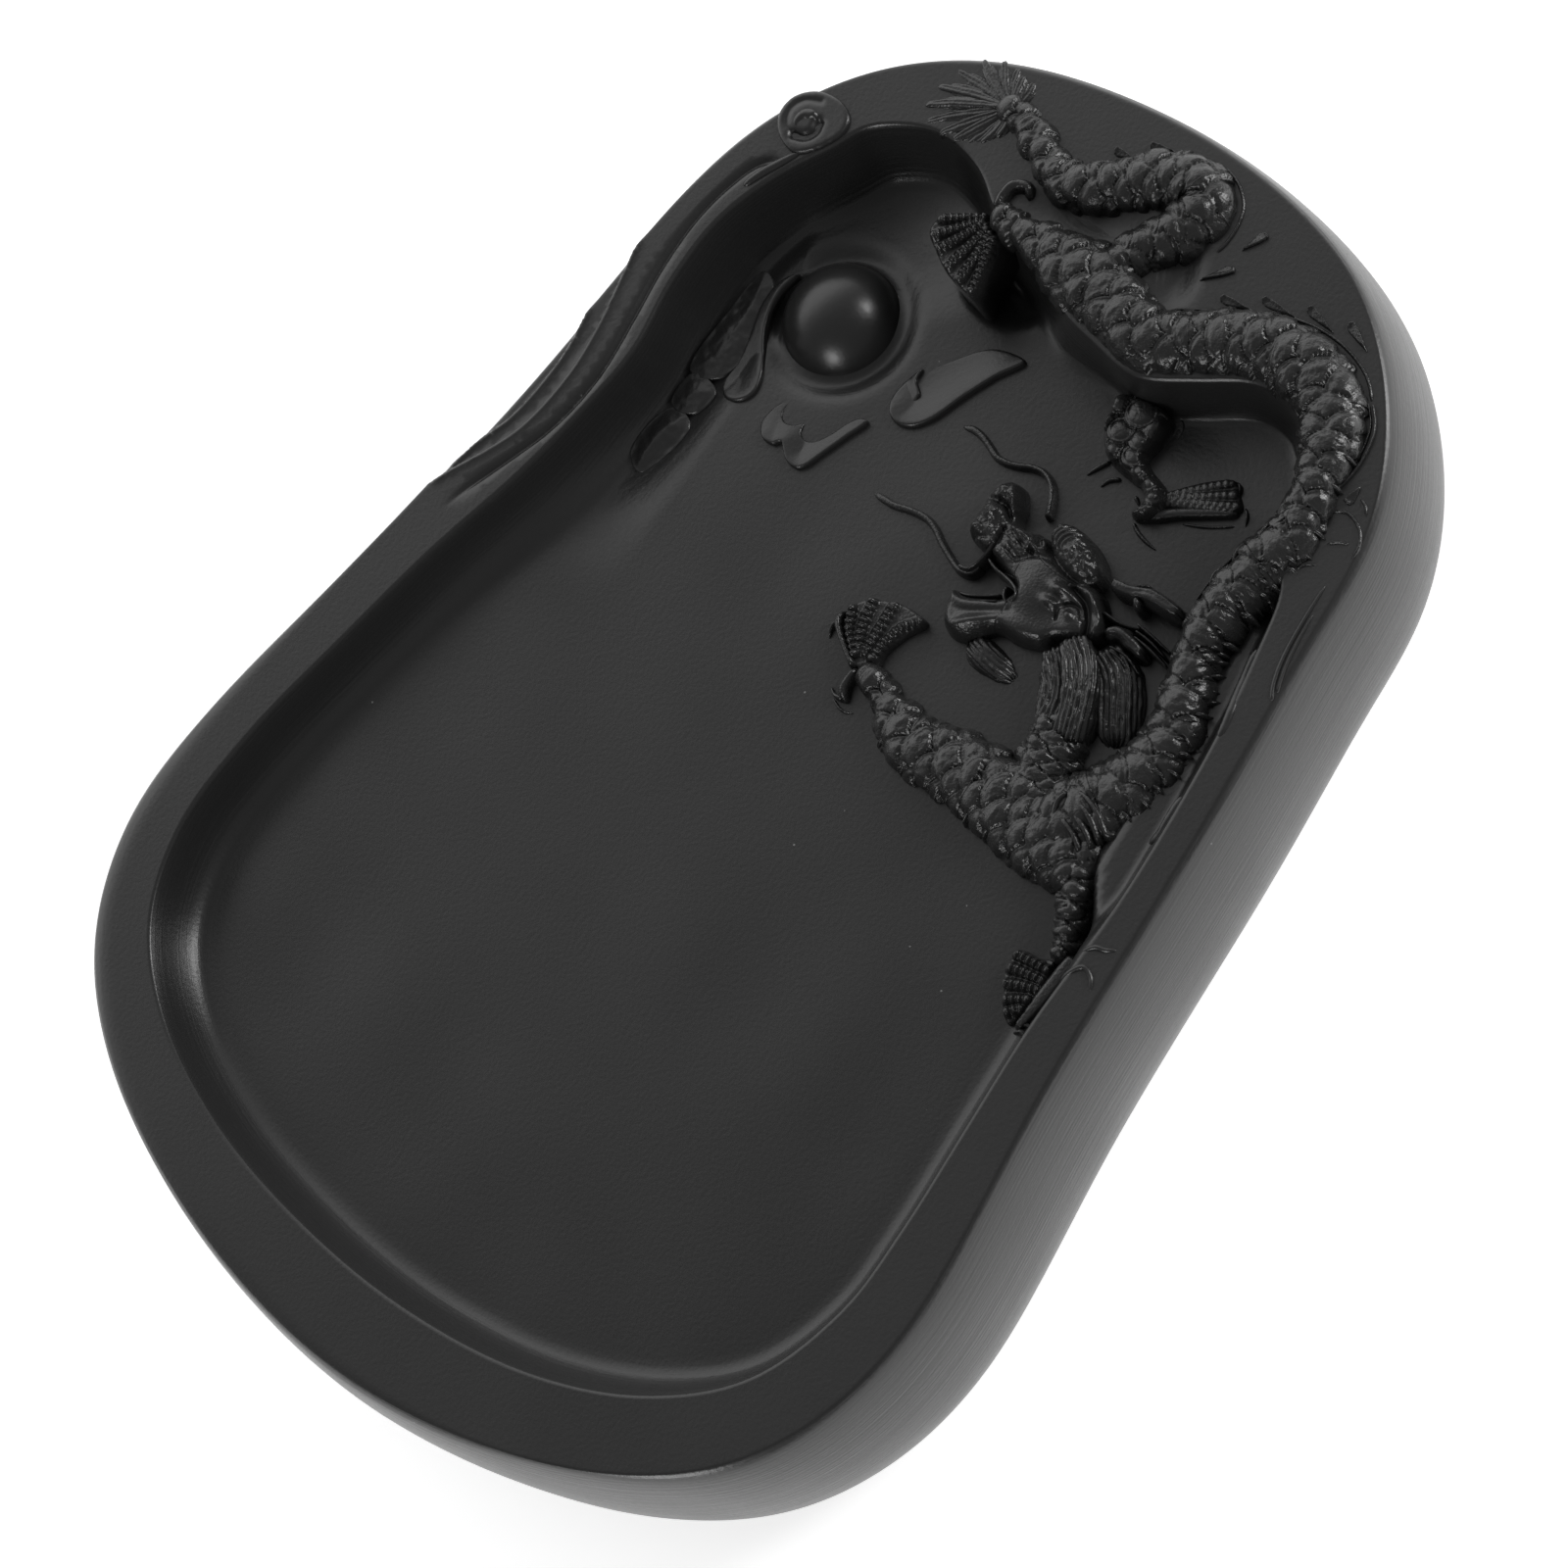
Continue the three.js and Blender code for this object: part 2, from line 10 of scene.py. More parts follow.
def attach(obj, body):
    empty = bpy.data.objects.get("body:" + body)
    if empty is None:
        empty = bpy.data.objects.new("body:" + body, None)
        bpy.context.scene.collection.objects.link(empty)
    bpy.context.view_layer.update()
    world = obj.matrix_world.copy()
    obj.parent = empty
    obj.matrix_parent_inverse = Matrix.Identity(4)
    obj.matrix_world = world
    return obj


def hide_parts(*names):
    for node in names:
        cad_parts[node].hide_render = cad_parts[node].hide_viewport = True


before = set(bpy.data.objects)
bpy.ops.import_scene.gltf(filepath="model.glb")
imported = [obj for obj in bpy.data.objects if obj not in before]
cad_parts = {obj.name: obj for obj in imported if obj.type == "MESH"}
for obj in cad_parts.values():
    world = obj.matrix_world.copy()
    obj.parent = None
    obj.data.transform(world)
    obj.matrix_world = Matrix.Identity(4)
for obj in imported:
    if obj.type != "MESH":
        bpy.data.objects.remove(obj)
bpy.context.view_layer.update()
MM = 0.001
RIM_Z = 25.0
FLOOR_Z = 19.2
FLOOR = 18.4        # base of the carvings that stand on the basin floor
DEEP = 17.6         # underside of the carved height fields
WAVE_DROP = 0.9     # each step down beside the left rim
PEARL = np.array([-15.6, 36.5])
PEARL_RADIUS = 5.7
PEARL_Z = 16.6
HEAD_PLACE = np.array([-0.7, 0.35])
CHUNK = 3000        # points handled at a time, to save memory
RNG = np.random.default_rng(7)

# ---------------------------------------------------------------- curves and distances, in mm


def spline(points, closed, step):
    """A centripetal Catmull-Rom curve through the points, resampled about every step mm.
    Columns past x and y are carried along."""
    p = np.array(points, float)
    if closed:
        p = np.vstack([p[-1], p, p[0], p[1]])
    else:
        p = np.vstack([2 * p[0] - p[1], p, 2 * p[-1] - p[-2]])
    out = []
    for a, b, c, d in zip(p[:-3], p[1:-2], p[2:-1], p[3:]):
        t1 = np.linalg.norm((b - a)[:2]) ** 0.5
        t2 = t1 + np.linalg.norm((c - b)[:2]) ** 0.5
        t3 = t2 + np.linalg.norm((d - c)[:2]) ** 0.5
        t = np.linspace(t1, t2, 24, endpoint=False)[:, None]
        ab = (t1 - t) / t1 * a + t / t1 * b
        bc = (t2 - t) / (t2 - t1) * b + (t - t1) / (t2 - t1) * c
        cd = (t3 - t) / (t3 - t2) * c + (t - t2) / (t3 - t2) * d
        abc = (t2 - t) / t2 * ab + t / t2 * bc
        bcd = (t3 - t) / (t3 - t1) * bc + (t - t1) / (t3 - t1) * cd
        out.append((t2 - t) / (t2 - t1) * abc + (t - t1) / (t2 - t1) * bcd)
    line = np.vstack(out + ([out[0][:1]] if closed else [p[-2][None]]))
    along = np.r_[0, np.cumsum(np.linalg.norm(np.diff(line[:, :2], axis=0), axis=1))]
    count = max(4, int(round(along[-1] / step)) + 1)
    at = np.linspace(0, along[-1], count)
    line = np.stack([np.interp(at, along, line[:, k]) for k in range(line.shape[1])], axis=1)
    return line[:-1] if closed else line


def counter_clockwise(loop):
    x, y = loop[:, 0], loop[:, 1]
    area = np.sum(x * np.roll(y, -1) - np.roll(x, -1) * y)
    return loop if area > 0 else loop[::-1]


def relaxed(loop, passes):
    """A closed loop with its small changes of curvature evened out."""
    for _ in range(passes):
        loop = (np.roll(loop, 1, 0) + 2 * loop + np.roll(loop, -1, 0)) / 4
    return loop


def out_normals(loop):
    """Unit vectors out of a counter-clockwise loop, one at each point."""
    d = np.roll(loop[:, :2], -1, 0) - np.roll(loop[:, :2], 1, 0)
    d /= np.linalg.norm(d, axis=1)[:, None]
    return np.stack([d[:, 1], -d[:, 0]], axis=1)


def left_of(line):
    """Unit vectors to the left of an open line."""
    d = np.gradient(line[:, :2], axis=0)
    d /= np.linalg.norm(d, axis=1)[:, None]
    return np.stack([-d[:, 1], d[:, 0]], axis=1)


def nearest(p, line, closed=False):
    """Distance from each point to a polyline, how far along it that is in mm, and which side (+1 left)."""
    a = line[:, :2]
    b = np.roll(a, -1, 0) if closed else a[1:]
    a = a if closed else a[:-1]
    ab = b - a
    size = np.linalg.norm(ab, axis=1)
    start = np.r_[0, np.cumsum(size)[:-1]]
    far, along, side = np.empty(len(p)), np.empty(len(p)), np.empty(len(p))
    for k in range(0, len(p), CHUNK):
        part = slice(k, k + CHUNK)
        q = p[part, None, :2] - a[None]
        t = np.clip((q * ab).sum(2) / np.maximum(size ** 2, 1e-12), 0, 1)
        gap = q - t[..., None] * ab
        d = np.hypot(gap[..., 0], gap[..., 1])
        i = d.argmin(1)
        r = np.arange(len(i))
        far[part] = d[r, i]
        along[part] = start[i] + t[r, i] * size[i]
        cross = ab[i, 0] * q[r, i, 1] - ab[i, 1] * q[r, i, 0]
        side[part] = np.where(cross >= 0, 1, -1)
    return far, along, side


def within(p, loop):
    """Whether each point is inside a closed loop."""
    x0, y0 = loop[:, 0], loop[:, 1]
    x1, y1 = np.roll(x0, -1), np.roll(y0, -1)
    dy = np.where(y1 == y0, 1e-12, y1 - y0)
    result = np.zeros(len(p), bool)
    for k in range(0, len(p), CHUNK):
        x, y = p[k:k + CHUNK, 0:1], p[k:k + CHUNK, 1:2]
        crosses = (y0 > y) != (y1 > y)
        result[k:k + CHUNK] = (crosses & (x < x0 + (y - y0) / dy * (x1 - x0))).sum(1) % 2 == 1
    return result


def inside_by(p, loop):
    """Signed distance to a closed loop, positive inside."""
    far, _, _ = nearest(p, loop, True)
    return np.where(within(p, loop), far, -far)


def smooth(t):
    """Eases a share t from 0 to 1 with no kink at either end."""
    t = np.clip(t, 0, 1)
    return t * t * (3 - 2 * t)


def ramp(v, low, high):
    """0 up to low and 1 from high on, with a smooth rise between them."""
    return smooth((v - low) / (high - low))


def bell(v, width):
    """1 where v is 0, dying away over about the given width on both sides."""
    return np.exp(-(v / width) ** 2)


def turned(p, x, y, angle):
    """Plan points seen from x, y along and across a direction in radians."""
    c, s = math.cos(angle), math.sin(angle)
    dx, dy = p[:, 0] - x, p[:, 1] - y
    return c * dx + s * dy, c * dy - s * dx


WAVES = [(RNG.uniform(-1, 1, 2), RNG.uniform(0, 6.28)) for _ in range(10)]


def ripple(p, length):
    """Gentle seeded unevenness between about -1 and 1, with the given wavelength in mm."""
    total = np.zeros(len(p))
    for direction, phase in WAVES:
        d = direction / np.linalg.norm(direction)
        stretch = 0.7 + 0.6 * abs(direction[0])
        total += np.sin((p[:, 0] * d[0] + p[:, 1] * d[1]) * math.tau / (length * stretch) + phase)
    return total / 4


def grain(p, length, seed=0):
    """Smooth value noise between -1 and 1 on a lattice of the given size in mm."""
    q = p[:, :2] / length
    cell = np.floor(q).astype(int)
    f = smooth(q - cell)

    def corner(dx, dy):
        h = (cell[:, 0] + dx) * 374761393 + (cell[:, 1] + dy) * 668265263 + seed * 1274126177
        h = (h ^ (h >> 13)) * 1103515245
        h ^= h >> 16
        return (h & 0xFFFF) / 32767.5 - 1

    low = corner(0, 0) * (1 - f[:, 0]) + corner(1, 0) * f[:, 0]
    high = corner(0, 1) * (1 - f[:, 0]) + corner(1, 1) * f[:, 0]
    return low * (1 - f[:, 1]) + high * f[:, 1]


# ---------------------------------------------------------------- the stone's own surface

OUTLINE = [
    (44.6, -34), (43, -43), (38.3, -51.7), (30, -58.2), (18, -62.8), (4, -65), (-9, -63.8),
    (-22, -60), (-33, -54.3), (-41, -46.5), (-44.7, -36), (-43.9, -24), (-41.3, -12.5), (-38, 3),
    (-35.6, 17), (-34, 28), (-32.6, 38), (-29.5, 48), (-23, 56.8), (-13, 62.5), (3, 65), (17, 63.6),
    (28, 59.3), (36, 51), (40.2, 42), (41, 30), (42, 15), (42.4, 2), (43, -13), (44.2, -25)]
# [height, distance outside the top face] of the barrel-shaped wall with its rounded foot
WALL = [(25, 0), (24.75, 0.22), (24.3, 0.48), (23.3, 0.8), (21, 1.32), (18, 1.78), (14.5, 2.08), (11, 2.12),
        (8, 1.85), (5, 1.1), (3, 0.35), (1.5, -0.45), (0.6, -1.15), (0, -2.2)]
BASIN = [
    (39, -28), (38.5, -36), (35, -45), (28, -51.2), (18, -55.3), (5, -57), (-8, -56.2),
    (-20, -53.5), (-30, -48.7), (-36.5, -42.3), (-39.2, -34), (-38.6, -24), (-36, -12),
    (-33.4, -1), (-30.3, 9), (-28.5, 17), (-27.5, 24), (-28.2, 31), (-27.7, 38), (-25, 44.5),
    (-21.6, 49.5), (-20.6, 51.4), (-14.5, 54.2), (-9, 53), (-5.8, 50.6), (-2, 49.2), (1.5, 48),
    (5, 45.6), (10, 44.2), (14.5, 43.4), (19.5, 45.6), (24.5, 48), (28.5, 47.6), (31, 44.5),
    (32.2, 40.5), (33.4, 37), (36, 34), (37.4, 28), (38.3, 22), (39, 13), (39.2, 3), (38.6, -8),
    (38.8, -18)]
RIM_GROOVE = [
    (-25.2, 45.7), (-27.6, 44.2), (-29.1, 41), (-30, 37), (-30.2, 32), (-29.7, 26), (-29.4, 21),
    (-29.8, 17), (-30.7, 13.5), (-32.2, 10), (-34, 6), (-35.2, 2.5)]
WAVE_EDGES = [
    [(-37.8, 4), (-36.8, 6), (-34.7, 9.4), (-33, 13), (-32, 19), (-32.2, 24), (-33, 29), (-33.9, 34)],
    [(-37.6, 6), (-36.4, 10), (-35.1, 13), (-34.4, 16.5), (-34.1, 20.5), (-34.4, 24), (-35.3, 28)]]
outline = relaxed(counter_clockwise(spline(OUTLINE, True, 0.55)), 70)
basin = relaxed(counter_clockwise(spline(BASIN, True, 0.5)), 6)
groove = spline(RIM_GROOVE, False, 0.4)
wave_edges = [spline(edge, False, 0.4) for edge in WAVE_EDGES]


def bowl(p, centre, radii, angle=0.0):
    """1 at the centre of an ellipse, falling smoothly to 0 at its edge."""
    u, v = turned(p, *centre, angle)
    return 1 - smooth(np.hypot(u / radii[0], v / radii[1]))


def floor_height(p):
    """Height of the basin floor and the ink pool, without the wall."""
    x, y = p[:, 0], p[:, 1]
    z = FLOOR_Z - 0.9 * ramp(y, 14, 50)
    trench = ramp(y, 2, 24) * (1 - ramp(x, -26, -19)) * 1.5
    deep_end = bowl(p, (-17, 47), (17, 11), 0.4) * 1.6
    z -= np.maximum(trench, deep_end)
    from_pearl = np.hypot(x - PEARL[0], y - PEARL[1])
    z -= 0.6 * bell(from_pearl - PEARL_RADIUS - 0.5, 1.2)
    z -= 2.4 * bowl(p, (-3.8, 47.2), (6, 4.6), -0.4)
    z -= 0.5 * bowl(p, (20, 43.5), (16, 6))
    ledge = 33.2 + 3.6 * (1 - ramp(y, 0, 8))
    z += 3.6 * ramp(x, ledge, ledge + 2) * ramp(y, -5, 0) * (1 - ramp(y, 30, 37))
    return z + 0.05 * ripple(p, 14)


def wall_share(t):
    """How far down the basin wall is, 0 at the rim and 1 at the floor, for a share t of its run."""
    t = np.clip(t, 0, 1)
    return (1 - (1 - t) ** 2.1) ** 0.62


def ground(p):
    """Height of the bare stone's upper surface."""
    p = np.asarray(p, float)
    x, y = p[:, 0], p[:, 1]
    inside = inside_by(p, basin)
    run = 4.4 - 1.8 * ramp(y, 8, 26) * (1 - ramp(x, 20, 34)) - 3.4 * ramp(x, 28, 34) * ramp(y, -2, 6)
    run = np.maximum(run - 1.9 * ramp(x, 4, 12) * ramp(y, 28, 36) - 1.6 * ramp(-y, -8, 12), 0.8)
    share = sum(wall_share((inside + shift) / run) for shift in (-0.3, -0.15, 0, 0.15, 0.3)) / 5
    top = RIM_Z + 0.05 * ripple(p, 30)
    far, along, side = nearest(p, groove)
    length = along.max()
    fade = ramp(along, 0, 3) * (1 - ramp(along, length - 6, length))
    top -= 0.45 * bell(far, 0.28) * fade
    for edge in wave_edges:
        far, along, side = nearest(p, edge)
        near = ramp(along, 0, 1) * (x < -28)
        top -= WAVE_DROP * ramp(side * far, -0.05, 0.3) * near
        top += 0.12 * bell(far + 0.15 * side, 0.3) * near
    top -= 0.7 * bowl(p, (3.5, 54), (9, 3), 0.15)
    top -= 0.8 * bowl(p, (12.6, 53.4), (2.6, 4.6), 0.3)
    edge = inside_by(p, outline)
    soft = 0.25 + 1.3 * ramp(-x - y, 40, 80)
    t = 0.75 * np.clip(1 - edge / soft, 0, 1)
    top -= soft * (1 - np.sqrt(np.maximum(0, 1 - t * t))) * 0.8
    return top - (top - floor_height(p)) * share


# ---------------------------------------------------------------- mesh builders


def make_mesh(name, verts, faces, material):
    """A smooth-shaded object in the scene, from points in mm."""
    mesh = bpy.data.meshes.new(name)
    mesh.from_pydata((np.asarray(verts) * MM).tolist(), [], faces)
    mesh.validate()
    work = bmesh.new()
    work.from_mesh(mesh)
    bmesh.ops.recalc_face_normals(work, faces=work.faces)
    work.to_mesh(mesh)
    work.free()
    mesh.shade_smooth()
    mesh.materials.append(material)
    piece = bpy.data.objects.new(name, mesh)
    bpy.context.scene.collection.objects.link(piece)
    return piece


def triangulate(points):
    """Delaunay triangles of plan points."""
    found = delaunay_2d_cdt([Vector((float(a), float(b))) for a, b in points[:, :2]],
                            [], [], 0, 1e-7)
    verts = np.array([(v.x, v.y) for v in found[0]])
    return verts, np.array(found[2], int)


def grid_points(lo, hi, step):
    """Plan points on a triangular lattice that fills a rectangle."""
    x = np.arange(lo[0], hi[0], step)
    y = np.arange(lo[1], hi[1], step * 0.866)
    gx, gy = np.meshgrid(x, y)
    gx = gx + (np.arange(len(y)) % 2)[:, None] * step / 2
    return np.c_[gx.ravel(), gy.ravel()]


def offset_points(loop, offsets):
    """Copies of a loop moved in by each offset, without the points that cross over at tight bends."""
    normals = out_normals(loop)
    kept = []
    for d in offsets:
        p = loop[:, :2] - normals * d
        far, _, _ = nearest(p, loop, True)
        kept.append(p[np.abs(far - abs(d)) < 0.03 + 0.02 * abs(d)])
    return kept


def slab_points():
    """Plan points of the slab's top, close together where it is carved and wide apart where it is calm."""
    loops = [outline[:, :2]] + offset_points(outline, (0.08, 0.18, 0.3, 0.5, 0.8, 1.2, 1.8))
    edge = offset_points(basin, (-1.5, -1, -0.6, -0.35, -0.2, -0.05, 0.1, 0.25, 0.4, 0.6, 0.85, 1.15,
                                 1.5, 1.9, 2.4, 3, 3.7, 4.5, 5.4))
    wave = np.vstack([line[:, :2] + left_of(line) * k for line in [groove] + wave_edges
                      for k in (-0.55, -0.3, -0.12, 0.05, 0.22, 0.45)])
    special = np.vstack(edge + [wave])
    special = special[inside_by(special, outline) > 2.0]
    gap = inside_by(wave, outline)
    special = np.vstack([special, wave[(gap > 0.1) & (gap <= 2.0)]])
    fine = grid_points((-26, 12), (6, 54), 0.34)
    calm = grid_points((-45, -65), (45, 65), 0.75)
    calm = calm[~((calm[:, 0] > -26) & (calm[:, 0] < 6) & (calm[:, 1] > 12) & (calm[:, 1] < 54))]
    grid = np.vstack([fine, calm])
    grid = grid[inside_by(grid, outline) > 2.1]
    depth = inside_by(grid, basin)
    grid = grid[(depth > 5.7) | (depth < -1.8)]
    near = np.min([nearest(grid, line)[0] for line in [groove] + wave_edges], axis=0)
    grid = grid[near > 0.7]
    points = np.vstack(loops + [special, grid])
    _, first = np.unique(np.round(points / 0.09).astype(int), axis=0, return_index=True)
    keep = np.union1d(first, np.arange(len(outline)))
    return points[keep]


def wall_profile(count=45):
    """Heights and outward distances of the wall's rings from the top down, with its corners eased."""
    corners = np.array(WALL, float)
    along = np.r_[0, np.cumsum(np.hypot(*np.diff(corners, axis=0).T))]
    fine = np.linspace(0, along[-1], count + 1)[1:]
    z, out = (np.interp(fine, along, corners[:, k]) for k in (0, 1))
    for _ in range(3):
        for values in (z, out):
            values[1:-1] = np.convolve(values, [0.25, 0.5, 0.25], "valid")
    return zip(z, out)


def build_slab(material):
    """The stone itself: one closed skin from the underside, up the barrel wall and over the top."""
    verts, tris = triangulate(slab_points())
    tris = tris[within(verts[tris].mean(1), outline)]
    xyz = np.c_[verts, ground(verts)]
    upper = np.argmin(np.abs(verts[:, None, 0] - outline[None, :, 0])
                      + np.abs(verts[:, None, 1] - outline[None, :, 1]), axis=0)
    steps = xyz[upper, 2] - RIM_Z
    gentle = relaxed(steps, 160)
    normals = out_normals(outline)
    layers, faces = [xyz], tris.tolist()
    for k, (z, out) in enumerate(wall_profile()):
        share = z / RIM_Z
        drop = gentle + (steps - gentle) * ramp(share, 0.93, 1)
        uneven = 0.09 * ripple(outline + [0, z], 26) * (0.3 + 0.7 * share)
        ring = outline[:, :2] + normals * (out + uneven)[:, None]
        layers.append(np.c_[ring, z + drop * ramp(share, 0.4, 1)])
        lower = len(xyz) + k * len(outline) + np.arange(len(outline))
        faces += np.stack([upper, lower, np.roll(lower, -1), np.roll(upper, -1)], axis=1).tolist()
        upper = lower
    faces.append(upper[::-1].tolist())
    return make_mesh("slab", np.vstack(layers), faces, material)


# ---------------------------------------------------------------- relief builders

GRID_LO, GRID_HI, GRID_STEP = np.array([-46.0, -66.0]), (46.01, 66.01), 0.5


def sample_ground():
    """Heights of the bare stone on a square grid, one row for each y."""
    x, y = (np.arange(lo, hi, GRID_STEP) for lo, hi in zip(GRID_LO, GRID_HI))
    gx, gy = np.meshgrid(x, y)
    return ground(np.c_[gx.ravel(), gy.ravel()]).reshape(gx.shape)


ground_map = sample_ground()


def ground_at(p):
    q = (np.asarray(p)[:, :2] - GRID_LO) / GRID_STEP
    q = np.clip(q, 0, np.array(ground_map.shape[::-1]) - 1.001)
    i = q.astype(int)
    f = q - i
    m = ground_map
    low = m[i[:, 1], i[:, 0]] * (1 - f[:, 0]) + m[i[:, 1], i[:, 0] + 1] * f[:, 0]
    high = m[i[:, 1] + 1, i[:, 0]] * (1 - f[:, 0]) + m[i[:, 1] + 1, i[:, 0] + 1] * f[:, 0]
    return low * (1 - f[:, 1]) + high * f[:, 1]


class Sweep:
    """A relief body along a path. Each station is (x, y, half width, base height, crest height)."""

    def __init__(self, stations, step=0.14, across=0.13, round_power=2.1, taper=(1.2, 1.2)):
        line = spline(stations, False, step)
        self.line, self.left = line, left_of(line)
        self.s = np.r_[0, np.cumsum(np.linalg.norm(np.diff(line[:, :2], axis=0), axis=1))]
        ends = np.ones(len(line))
        for size, gap in zip(taper, (self.s, self.s[-1] - self.s)):
            t = np.clip(gap / size, 0, 1)
            ends *= np.sqrt(np.maximum(1 - (1 - t) ** 2, 0.003))
        self.width = line[:, 2] * ends
        self.rise = (line[:, 4] - line[:, 3]) * (0.35 + 0.65 * ends) * np.sqrt(ends)
        count = max(7, int(2.2 * line[:, 2].max() / across) | 1)
        angle = np.linspace(-1, 1, count)
        self.u = np.sin(angle * math.pi / 2)
        self.power = round_power
        self.arc = angle * 1.18

    def surface(self):
        """The body's upper side as a grid of points, rows along it and columns across it."""
        h = np.sqrt(1 - np.abs(self.u) ** self.power)
        side = self.width[:, None] * self.u[None]
        xy = self.line[:, None, :2] + self.left[:, None] * side[..., None]
        z = self.line[:, 3][:, None] + self.rise[:, None] * h[None]
        return np.dstack([xy, z])

    def coordinates(self):
        """Distance along and across the surface, in mm."""
        s = np.repeat(self.s[:, None], len(self.u), 1)
        return s, self.line[:, 2][:, None] * self.arc[None]

    def at(self, s, u):
        """Points on the smooth surface at given distances along and shares across."""
        rows = np.array([np.interp(s, self.s, c) for c in
                         (self.line[:, 0], self.line[:, 1], self.width, self.line[:, 3], self.rise)]).T
        left = np.array([np.interp(s, self.s, c) for c in self.left.T]).T
        xy = rows[:, :2] + left * (rows[:, 2] * u)[:, None]
        return np.c_[xy, rows[:, 3] + rows[:, 4] * np.sqrt(np.maximum(0, 1 - np.abs(u) ** self.power))]


def displaced(surface, amount):
    """Moves a grid of points along its normals."""
    ds, dv = np.gradient(surface, axis=0), np.gradient(surface, axis=1)
    normal = np.cross(ds, dv)
    size = np.linalg.norm(normal, axis=2)[..., None]
    normal = normal / np.maximum(size, 1e-9)
    normal *= np.sign(np.where(np.abs(normal[..., 2:3]) < 1e-6, 1, normal[..., 2:3]))
    return surface + normal * amount[..., None]


def skin_mesh(surface, sink):
    """Vertices and faces of a closed body: the surface grid with its sides carried down by sink."""
    rows, cols = surface.shape[:2]
    low_left, low_right = surface[:, :1].copy(), surface[:, -1:].copy()
    low_left[..., 2] -= sink
    low_right[..., 2] -= sink
    full = np.concatenate([low_left, surface, low_right], axis=1)
    cols += 2
    index = np.arange(rows * cols).reshape(rows, cols)
    a, b = index[:-1], np.roll(index, -1, 1)[:-1]
    c, d = np.roll(index, -1, 1)[1:], index[1:]
    faces = np.stack([a, b, c, d], axis=2).reshape(-1, 4)
    return full.reshape(-1, 3), faces.tolist() + [index[0].tolist(), index[-1][::-1].tolist()]


def join(parts):
    """Several bodies as one list of vertices and faces."""
    verts, faces, start = [], [], 0
    for v, f in parts:
        verts.append(v)
        faces += [[i + start for i in face] for face in f]
        start += len(v)
    return np.vstack(verts), faces


def ridge(stations, skin=None, step=0.12, across=0.1, sink=0.6, taper=(0.8, 0.8), on_ground=True,
          round_power=2.0):
    """A low swept ridge. Stations are (x, y, half width, height), standing on the ground, or with
    on_ground off (x, y, half width, base, crest)."""
    rows = np.array(stations, float)
    if on_ground:
        line = spline(np.c_[rows, np.zeros(len(rows))], False, 0.3)
        base = ground_at(line)
        kernel = np.ones(5) / 5
        base = np.convolve(np.r_[[base[0]] * 2, base, [base[-1]] * 2], kernel, "valid")
        rows = np.c_[line[:, :3], base - 0.05, base + line[:, 3]]
        rows = rows[::4] if len(rows) > 12 else rows
    body = Sweep(rows, step, across, round_power, taper)
    surface = body.surface()
    if skin is not None:
        s, v = body.coordinates()
        surface = displaced(surface, skin(s, v))
    return skin_mesh(surface, sink)


def strip(stations, base, skin=None, **more):
    """A ridge on a level base. Stations are (x, y, half width, crest)."""
    rows = [(x, y, half, base, crest) for x, y, half, crest in stations]
    return ridge(rows, skin, on_ground=False, **more)


def patch(outline_points, relief, step=0.16, round_edge=0.25, sink=0.7, base=None, flat=False):
    """A raised area inside an outline. relief(p, d) gives its height at plan points p that are d
    inside the edge; base(p) is what it stands on."""
    drawn = resample(np.array(outline_points, float), step) if flat else spline(outline_points, True, step)
    loop = counter_clockwise(drawn)
    rings = offset_points(loop, (0.07, 0.17, 0.3))
    grid = grid_points(loop.min(0), loop.max(0), step)
    grid = grid[inside_by(grid, loop) > 0.38]
    points = np.vstack([loop[:, :2]] + rings + [grid])
    inside = np.r_[np.ones(len(loop), bool), within(points[len(loop):], loop)]
    verts, tris = triangulate(points[inside])
    verts, tris = compacted(verts, tris[within(verts[tris].mean(1), loop)])
    d = np.maximum(inside_by(verts, loop), 0)
    shape = np.sqrt(np.clip(1 - (1 - np.clip(d / round_edge, 0, 1)) ** 2, 0, 1))
    under = ground_at(verts) if base is None else base(verts)
    top = np.c_[verts, under + relief(verts, d) * (0.25 + 0.75 * shape)]
    return closed_down(top, tris, under - sink)


def compacted(points, tris):
    """Only the points that the triangles use, with the triangles renumbered."""
    used, numbers = np.unique(tris, return_inverse=True)
    return points[used], numbers.reshape(-1, 3)


def closed_down(top, tris, low_z):
    """A closed body: the triangles, walls down from their edges to low_z, and a floor."""
    walls, floors, low = [], [], []
    for loop in boundary_loops(tris):
        first, m = len(top) + len(low), len(loop)
        low += [[*top[k, :2], low_z[k]] for k in loop]
        walls += [[loop[k], first + k, first + (k + 1) % m, loop[(k + 1) % m]] for k in range(m)]
        floors.append(list(range(first + m - 1, first - 1, -1)))
    return np.vstack([top, low]), tris.tolist() + walls + floors


def boundary_loops(tris):
    """Closed loops of the edges used by only one triangle."""
    edges = np.vstack([tris[:, [0, 1]], tris[:, [1, 2]], tris[:, [2, 0]]])
    _, back, count = np.unique(np.sort(edges, 1), axis=0, return_inverse=True, return_counts=True)
    onward = {}
    for a, b in edges[count[back.ravel()] == 1].tolist():
        onward.setdefault(a, []).append(b)
    loops = []
    while onward:
        start = next(iter(onward))
        loop, at = [], start
        while at in onward:
            loop.append(at)
            following = onward[at].pop()
            if not onward[at]:
                del onward[at]
            at = following
        loops.append(loop)
    return loops


